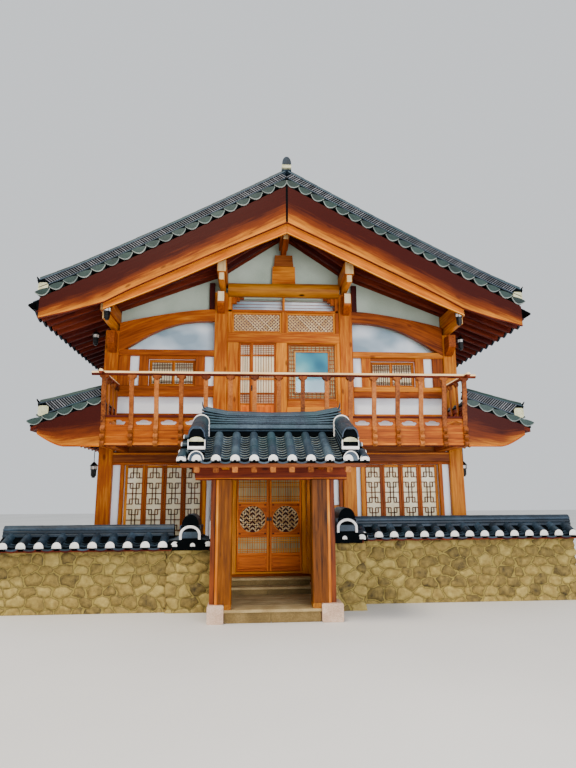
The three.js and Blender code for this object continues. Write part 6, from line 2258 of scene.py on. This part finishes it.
@dataclass
class YardWall:
    """Field-stone wall with a pier at the gate, and the tiled coping on both."""

    word: str
    wall: Box
    pier: Box
    top: float
    pitch: float
    seed: int
    stone: Pair = (0.275, 0.180)
    cell: float = 0.017

    def stones(self) -> None:
        """Relief of round stones on every face of the wall and the pier."""
        piece = Piece(f"field_stones_{self.word}")
        for number, place in enumerate((self.wall, self.pier)):
            piece.add(self.relief(place, self.seed + 10 * number), STONE)
        piece.build(f"yard_wall_{self.word}", sharp=80)

    def relief(self, place: Box, seed: int) -> Patch:
        """One closed block whose upright faces are stones.

        The face runs once round the block as a strip of u (distance) and z. Each point takes the
        nearest of jittered stone centres; the height is the square root of how much further the
        second nearest centre is, cut off at one, so that stones are round and joints are low.

        Args:
            place: Left, right, front and back face.
            seed: Seed of the stones.

        Returns:
            The block as a patch.
        """
        x0, x1, y0, y1 = place
        inset = 0.038
        corners = np.array([(x0, y0), (x1, y0), (x1, y1), (x0, y1), (x0, y0)], float)
        normals = np.array([(0, -1), (1, 0), (0, 1), (-1, 0)], float)
        marks = reached(corners)
        steps = [max(int(span / self.cell), 3) for span in np.diff(marks)]
        u = np.concatenate([marks[i] + (marks[i + 1] - marks[i]) * np.arange(n) / n
                            for i, n in enumerate(steps)])
        sides = np.repeat(np.arange(4), steps)
        z = np.linspace(0, self.top - 0.001, max(int(self.top / self.cell), 8))
        grid_u, grid_z = np.meshgrid(u, z)
        height, tone = self.stone_field(grid_u, grid_z, marks[-1], seed)
        flat = np.stack([np.interp(u, marks, corners[:, i]) for i in range(2)], axis=-1)
        corner = np.isin(u, marks)[:, None]
        normal = normals[sides] + np.where(corner, normals[(sides - 1) % 4], 0)
        depth = inset * (1 - height) * np.minimum(1, z / 0.03)[:, None]
        plan = flat - normal * depth[..., None]
        points = at(plan[..., 0], plan[..., 1], grid_z)
        index = np.arange(height.size).reshape(height.shape)
        right = np.roll(index, -1, axis=1)
        quads = np.stack([index[:-1], right[:-1], right[1:], index[1:]], axis=-1).reshape(-1, 4)
        grain = np.concatenate([points[..., :2], height[..., None]], axis=-1).reshape(-1, 3)
        return Patch(points.reshape(-1, 3), [quads, index[:1, ::-1], index[-1:]], grain,
                     tone.reshape(-1))

    def stone_field(self, u: Array, z: Array, around: float, seed: int) -> tuple[Array, Array]:
        """Height and tone of the stones at every grid point.

        Centres stand in staggered courses and are moved at random. Every stone also has a
        random size, which is taken off its distance.

        Args:
            u: Distance round the block.
            z: Height.
            around: Whole distance round the block.
            seed: Seed of the stones.

        Returns:
            Height from 0 to 1 and tone from 0 to 1, shaped as the grid.
        """
        wide, high = self.stone
        random = np.random.default_rng(RANDOM_SEED + seed)
        courses = np.arange(-0.5, self.top / high + 1.0)
        count = max(int(around / wide), 4)
        base = (np.arange(count)[None] + 0.5 * (np.arange(len(courses)) % 2)[:, None]) / count
        centre_u = base * around + random.uniform(-0.32, 0.32, base.shape) * wide
        centre_z = (courses[:, None] + 0.5 + random.uniform(-0.26, 0.26, base.shape)) * high
        size = random.uniform(-0.10, 0.24, base.shape).reshape(-1)
        tones = random.uniform(0, 1, base.shape).reshape(-1)
        sway_u = u + 0.012 * np.sin(31 * z + 9 * u) + 0.008 * np.sin(57 * u + 13 * z)
        sway_z = z + 0.010 * np.sin(23 * u + 3) + 0.007 * np.sin(49 * z + 21 * u)
        gap = np.abs(sway_u.reshape(-1, 1) - centre_u.reshape(-1))
        gap = np.minimum(gap, around - gap) / wide
        rise = (sway_z.reshape(-1, 1) - centre_z.reshape(-1)) / high
        distance = np.sqrt(gap**2 + rise**2) - size
        order = np.argpartition(distance, 1, axis=1)[:, :2]
        pair = np.take_along_axis(distance, order, axis=1)
        nearest = order[np.arange(len(order)), np.argmin(pair, axis=1)]
        margin = np.abs(pair[:, 1] - pair[:, 0])
        height = np.sqrt(np.clip((margin - 0.08) / 0.42, 0, 1))
        return height.reshape(u.shape), tones[nearest].reshape(u.shape)

    def coping(self) -> None:
        """Tiles over the wall, across it on both slopes, and a tall cap along the pier."""
        piece = Piece(f"coping_tiles_{self.word}")
        x0, x1, y0, y1 = self.wall
        left, right, front, back = self.pier
        # The wall's coping stops where the pier's cap begins
        ends = (x0, left + 0.10) if self.word == "left" else (right - 0.10, x1)
        line = at(ends, (y0 + y1) / 2, self.top)
        self.course(piece, line, 0.42, 0.25, 700 + self.seed)
        self.ridge(piece, line)
        x = (left + right) / 2
        line = at(x, (front - 0.058, back + 0.058), self.top)
        self.course(piece, line, (right - left) / 2, 0.22, 740 + self.seed)
        self.pier_cap(piece, x, front - 0.058, back + 0.058)
        piece.build(f"yard_coping_{self.word}", sharp=40)

    def course(self, piece: Piece, line: Array, half: float, top: float, seed: int) -> None:
        """Coping along one axis: bed, cover and pan tiles on both slopes, and their ends.

        Args:
            piece: Piece that gets the patches.
            line: Start and end of the wall's middle line at its top.
            half: Half the width of the coping.
            top: Height at which the slopes meet the ridge.
            seed: Seed of the tones.
        """
        up, eave, board = np.array(UP), 0.075, half - 0.055
        start, end = line
        along = unit(end - start)
        count = max(int(round(np.linalg.norm(end - start) / self.pitch)), 2)
        step = (end - start) / count
        centres = start + (np.arange(count) + 0.5)[:, None] * step
        pans = start + np.arange(1, count)[:, None] * step
        wide = np.linalg.norm(step) / 2 - 0.03
        for sign in (-1, 1):
            out = sign * np.cross(up, along)
            share = np.linspace(0.12, 0.90, 5)[:, None]
            path = share * half * out + (top + (eave - top) * share) * up
            piece.add(tile_rows(path + 0.018 * up, centres, half_round(0.070, 0.03, 6), 2, 0.06,
                                0.004, seed + sign), COPING)
            piece.add(tile_rows(path + 0.014 * up, pans, trough(wide, 0.034, 0.014), 4, 0.0, 0.016,
                                seed + 3 + sign), COPING)
            ends = centres + (half * 0.965) * out + (eave + 0.016) * up
            piece.add(end_caps(ends, 0.080, out, 0.022, seed + 5, 0.026), LIME)
            foot = pans + (half * 0.945) * out + (eave - 0.004) * up
            # Red-brown hollows show under the tiles in a wavy line
            for back, more, drop, number, finish in ((0, 0, 0.050, 6, COPING),
                                                     (0.030, 0.01, 0.074, 9, DARK)):
                piece.add(tongues(foot - back * out - back / 5 * up, 0.022 * out, wide + more, 0.034,
                                  0.016, drop, seed + number), finish)
            edge = line + board * out + 0.024 * up
            piece.add(prisms(oblong(0.010, 0.020), *edge, seed + 8), DARK)
        right = [(board, 0.002), (half - 0.03, 0.045), (half - 0.03, 0.060), (0.09, top - 0.02)]
        section = [(-board, 0.002)] + right + [(-u, v) for u, v in right[:0:-1]]
        piece.add(prisms(section, start + along * 0.004, end - along * 0.004, seed + 7), HOLLOW)

    def ridge(self, piece: Piece, line: Array) -> None:
        """Ridge on the wall's coping: three thick bands and a low round row.

        Args:
            piece: Piece that gets the parts.
            line: Both ends of the coping's middle line.
        """
        a, b = line + [(0.004, 0, 0), (-0.004, 0, 0)]
        reach = b[0] - a[0]
        for layer, (half, low, high) in enumerate(((0.104, 0.235, 0.290), (0.096, 0.294, 0.345),
                                                   (0.090, 0.349, 0.392))):
            points = raised(np.linspace(a, b, 5), (low + high) / 2)
            piece.add(lapped(oblong(half, (high - low) / 2, 0.010), points,
                             max(int(reach / 0.55), 2) + layer % 2, 712 + layer, 0.02), COPING)
        piece.add(prisms(oblong(0.07, 0.10), raised(a, 0.29), raised(b, 0.29), 716), HOLLOW)
        piece.add(lapped(half_round(0.074, 0.010, 8) * [1.0, 0.68],
                         raised(np.linspace(a, b, 9), 0.386), max(int(reach / 0.33), 2), 717), COPING)

    def pier_cap(self, piece: Piece, x: float, start: float, end: float) -> None:
        """Tall cap of the pier: stacked layers, a ringed street end and a big round row on top.

        Args:
            piece: Piece that gets the parts.
            x: Place along X.
            start: Street end along Y.
            end: Other end along Y.
        """
        # One more lime strip stands where the cap meets the gate's board
        toward, top = 1 if self.word == "left" else -1, self.top
        for middle, half, y0, y1, low, high, finish, bevel, seed in (
                (0, 0.172, 0.03, end - 0.004, 0.16, 0.225, COPING, 0.010, 760),
                (0, 0.184, 0.03, end - 0.004, 0.229, 0.290, COPING, 0.010, 761),
                (0, 0.178, 0.03, end - 0.004, 0.294, 0.355, COPING, 0.010, 762),
                (0, 0.186, 0.03, end - 0.004, 0.359, 0.425, COPING, 0.010, 763),
                (0, 0.165, 0.02, end - 0.008, 0.10, 0.42, HOLLOW, 0.0, 765),
                (0, 0.140, 0.008, start + 0.03, 0.205, 0.315, COPING, 0.008, 769),
                (0.365, 0.024, 0.004, start + 0.05, 0.20, 0.50, LIME, 0.006, 770),
                (0, 0.36, 0.012, start + 0.03, 0.03, 0.175, HOLLOW, 0.01, 772)):
            piece.blocks([(*about(x + toward * middle, half), start + y0, y1, top + low, top + high)],
                         finish, bevel, seed)
        round_row = half_round(0.150, 0.006, 12) * [1.0, 1.24]
        points = np.linspace((x, start + 0.03, top + 0.432), (x, end - 0.004, top + 0.432), 5)
        piece.add(lapped(round_row, points, 2, 766, 0.02), COPING)
        piece.add(prisms(round_row * 0.98, points[0], points[0] - [0, 0.024, 0], 767), HOLLOW)
        bow = arc(0.165, 0.140, 17)
        rise = np.concatenate([[0.185], 0.265 + bow[:, 1], [0.185]])
        side = np.concatenate([[0.165], bow[:, 0], [-0.165]])
        piece.add(carried(oblong(0.022, 0.020, 0.006), at(x + side, start + 0.020, top + rise), 768,
                          INWARD), LIME)
        spots = at(x + toward * np.array([-0.26, 0.05, 0.32]), start + 0.022, top + 0.085)
        piece.add(end_caps(spots, 0.078, (0, -1, 0), 0.020, 771, 0.030), LIME)

    def build(self) -> None:
        """Builds the wall and its coping."""
        self.stones()
        self.coping()


@dataclass
class Lantern:
    """Six-sided iron lanterns with a pale glass band.

    One hangs on an arm from the end of the eave purlin, and two hang beside each side wall.
    """

    x: float = 3.49
    y: float = -4.525
    top: float = 5.655
    # Rings of height and radius, from the foot upwards, of the hood, glass, body and foot
    rings: tuple[tuple[Pair, ...], ...] = (
        ((-0.095, 0.084), (-0.085, 0.087), (-0.05, 0.060), (-0.02, 0.030), (-0.005, 0.018)),
        ((-0.165, 0.060), (-0.092, 0.066)),
        ((-0.30, 0.052), (-0.29, 0.057), (-0.172, 0.062), (-0.160, 0.066)),
        ((-0.335, 0.030), (-0.32, 0.040), (-0.295, 0.040)))

    def lamp(self, piece: Piece, x: float, y: float, top: float) -> None:
        """Hood, glass, body, foot and six bars of one lantern.

        Args:
            piece: Piece that gets the parts.
            x: Place along X.
            y: Place along Y.
            top: Height of the top.
        """
        for number, rows in enumerate(self.rings):
            height, radius = np.array(rows).T
            circle = arc(1, -1, 6, 2 * np.pi, False) * radius[:, None, None]
            rings = at(x + circle[..., 0], y + circle[..., 1], top + height[:, None])
            piece.add(skin(rings[None], height[None], circle[None], 800 + number),
                      LIME if number == 1 else IRON)
        bars = arc(0.066, 0.066, 6, 2 * np.pi, False) + [x, y]
        piece.blocks([(*about(a, 0.004), *about(b, 0.004), top - 0.17, top - 0.09) for a, b in bars],
                     IRON, 0.0, 804)

    def side_lamps(self, side: Side) -> None:
        """Lamps on thin rods under the main eave and under the side roof.

        Args:
            side: Half of the house.
        """
        piece = Piece(f"side_lamps_{side.word}")
        for x, top, held in ((4.10, 5.56, 5.70), (3.97, 2.70, 3.42)):
            self.lamp(piece, side.value * x, -3.0, top)
            piece.blocks([(*about(x, 0.006), *about(-3.0, 0.006), top - 0.01, held)], IRON, 0.0, 806,
                         side)
        piece.build()

    def build(self, side: Side) -> None:
        """One lantern with its hooked arm.

        Args:
            side: Half of the house.
        """
        piece = Piece(f"iron_lantern_{side.word}")
        x, y, top = side.value * self.x, self.y, self.top
        self.lamp(piece, x, y, top)
        hook = at(x, (y, y, y + 0.01, y + 0.05, -4.431),
                  np.array([-0.01, 0.02, 0.035, 0.037, 0.035]) + top)
        piece.add(carried(arc(0.010, 0.010, 8, 2 * np.pi, False), hook, 805, (1, 0, 0)), IRON)
        piece.build(f"lantern_{side.word}")


@dataclass
class WallWindows:
    """Lattice leaves in the window openings of the side walls and the back wall."""

    half: float = 0.48
    upper: Pair = (4.24, 4.80)
    lower: Pair = (1.15, 2.35)

    def opening(self, piece: Piece, middle: float, levels: Pair, rows: int, face: float,
                seed: int, side: Side | None = None) -> None:
        """Frame and bars of one opening with two leaves.

        Args:
            piece: Piece that gets the blocks.
            middle: Middle of the opening along the wall.
            levels: Foot and head of the opening.
            rows: Level bars in a leaf.
            face: Distance of the wall's face from the middle of the house.
            seed: Seed of the tones.
            side: Side wall that it is in, or none for the back wall.
        """
        (a0, a1), (z0, z1) = about(middle, self.half), levels
        edges = surround(a0 + 0.001, a1 - 0.001, z0 + 0.001, z1 - 0.001, 0.06, 0.01, 0.10)
        edges.append((*about(middle, 0.03), 0.02, 0.10, z0 + 0.06, z1 - 0.06))
        bars: list[Box] = []
        for low, high in ((a0 + 0.06, middle - 0.03), (middle + 0.03, a1 - 0.06)):
            bars += cross_bars(low, high, z0 + 0.06, z1 - 0.06, 4, 0.014, 0.04, 0.075, rows)
        for group, bevel, finish in ((edges, 0.006, HONEY), (bars, 0.0, LATTICE)):
            boxes = np.array(group)[:, [0, 1, 3, 2, 4, 5]]
            boxes[:, 2:4] = face - boxes[:, 2:4]
            if side is not None:
                boxes = boxes[:, [2, 3, 0, 1, 4, 5]]
            piece.blocks(boxes, finish, bevel, seed, side or Side.RIGHT)

    def side(self, side: Side) -> None:
        """Three upper windows of a side wall.

        Args:
            side: Half of the house.
        """
        piece = Piece(f"side_windows_{side.word}")
        for y in (-2.26, 0.0, 2.26):
            self.opening(piece, y, self.upper, 5, 3.615, 900, side)
        piece.build()

    def back(self) -> None:
        """Six windows of the back wall."""
        piece = Piece("back_windows")
        for x in (-2.34, 0.0, 2.34):
            self.opening(piece, x, self.upper, 5, 3.48, 910)
            self.opening(piece, x, self.lower, 9, 3.48, 910)
        piece.build()

    def build(self) -> None:
        """Builds the windows of the sides and the back."""
        for side in Side:
            self.side(side)
        self.back()


def dress_node(name: str, finish: Finish) -> None:
    """Gives a CAD node that stays its finish, in every material slot.

    Args:
        name: CAD node.
        finish: Finish that is given.
    """
    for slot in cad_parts[name].material_slots:
        slot.material = finish.material()
    LOG.info("%s: dressed in %s", name, finish.name)


@dataclass
class Studio:
    """Pale floor, soft light and the camera at the photograph's angle."""

    eye: tuple[float, float, float] = (-0.727, -15.0, 1.95)
    lens: float = 26.0156
    pitch: float = math.radians(11.5)
    heading: float = math.radians(4.04)
    roll: float = math.radians(-0.35)

    def camera(self) -> None:
        """Camera whose axes are worked out from heading, pitch and roll.

        Forward is (sin heading cos pitch, cos heading cos pitch, sin pitch); right and up are
        turned about it by the roll.
        """
        forward = Vector((math.sin(self.heading) * math.cos(self.pitch),
                          math.cos(self.heading) * math.cos(self.pitch), math.sin(self.pitch)))
        level = Vector((math.cos(self.heading), -math.sin(self.heading), 0))
        above = level.cross(forward)
        right = math.cos(self.roll) * level + math.sin(self.roll) * above
        up = -math.sin(self.roll) * level + math.cos(self.roll) * above
        data = bpy.data.cameras.new("street_view")
        data.lens = self.lens
        data.sensor_width = 36
        data.sensor_fit = "AUTO"
        data.clip_end = 200
        made = bpy.data.objects.new("street_view", data)
        made.matrix_world = Matrix((
            (right.x, up.x, -forward.x, self.eye[0]), (right.y, up.y, -forward.y, self.eye[1]),
            (right.z, up.z, -forward.z, self.eye[2]), (0, 0, 0, 1)))
        bpy.context.scene.collection.objects.link(made)
        bpy.context.scene.camera = made

    def floor(self) -> None:
        """Large pale floor just under the ground level."""
        mesh = bpy.data.meshes.new("studio_floor")
        corners = [(-60, -60), (60, -60), (60, 60), (-60, 60)]
        mesh.from_pydata([(x, y, -0.002) for x, y in corners], [], [(0, 1, 2, 3)])
        mesh.materials.append(Mineral("studio floor", "#d6d5d2", "#dddcd9", "#e3e2df",
                                      patch_scale=0.2, grit=0.1, rise=0.0001).material())
        made = bpy.data.objects.new("studio_floor", mesh)
        bpy.context.scene.collection.objects.link(made)

    def light(self, name: str, place: tuple[float, float, float], aim: tuple[float, float, float],
              size: float, power: float, colour: str) -> None:
        """Adds a square soft light.

        Args:
            name: Name of the light.
            place: Where it hangs.
            aim: Point that it faces.
            size: Side of the square.
            power: Power in watts.
            colour: Colour as hex.
        """
        data = bpy.data.lights.new(name, "AREA")
        data.size = size
        data.energy = power
        data.color = linear(colour)[:3]
        made = bpy.data.objects.new(name, data)
        made.location = place
        made.rotation_euler = (Vector(aim) - Vector(place)).to_track_quat("-Z", "Y").to_euler()
        bpy.context.scene.collection.objects.link(made)

    def sky(self) -> None:
        """Even pale background light."""
        world = bpy.data.worlds.new("soft_sky")
        world.use_nodes = True
        world.node_tree.nodes.clear()
        glow = add_node(world.node_tree, "Background", {"Color": linear("#f0f4f8"), "Strength": 1.0})
        add_node(world.node_tree, "OutputWorld", {"Surface": glow})
        bpy.context.scene.world = world

    def build(self) -> None:
        """Builds the stage, the lights and the camera."""
        self.camera()
        self.floor()
        self.sky()
        self.light("key", (-6, -13, 20), (0, -3, 3), 5, 4200, "#fff1dc")
        self.light("fill", (5, -20, 3.5), (0, -3, 2.5), 9, 2300, "#f4f6ff")
        self.light("back", (4, 18, 14), (0, 3, 4), 10, 1500, "#f4f7ff")


def main() -> None:
    """Builds every part in order."""
    logging.basicConfig(level=logging.INFO, format="%(name)s: %(message)s")
    Studio().build()
    for assembly in (Base, TimberFrame, LatticeWindows, MiddleBay, FrontDoor, Balcony, MainRoof,
                     RoofTimbers, WingRoof, Gate):
        assembly().build()
    YardWall("left", (-5.05, -2.10, -4.67, -4.29), (-2.16, -1.345, -4.75, -4.25), 1.04, 0.306,
             1).build()
    YardWall("right", (1.30, 5.60, -4.25, -3.87), (0.70, 1.36, -4.85, -4.05), 1.14, 0.286, 3).build()
    for side in Side:
        Lantern().build(side)
        Lantern().side_lamps(side)
    WallWindows().build()
    for name in ("front_wall_left", "front_wall_right", "front_wall_over_door",
                 "front_wall_beside_door", "left_wall", "right_wall", "back_wall"):
        dress_node(name, PLASTER)
    dress_node("gable_front", SHADED_GABLE)
    for name in ("left_window_sheet", "right_window_sheet", "back_window_sheet_upper",
                 "upper_front_glass"):
        dress_node(name, GLASS)
    dress_node("back_window_sheet_lower", PAPER)
    for name in ("ground_floor", "upper_floor"):
        dress_node(name, FLOOR)


if __name__ == "__main__":
    main()
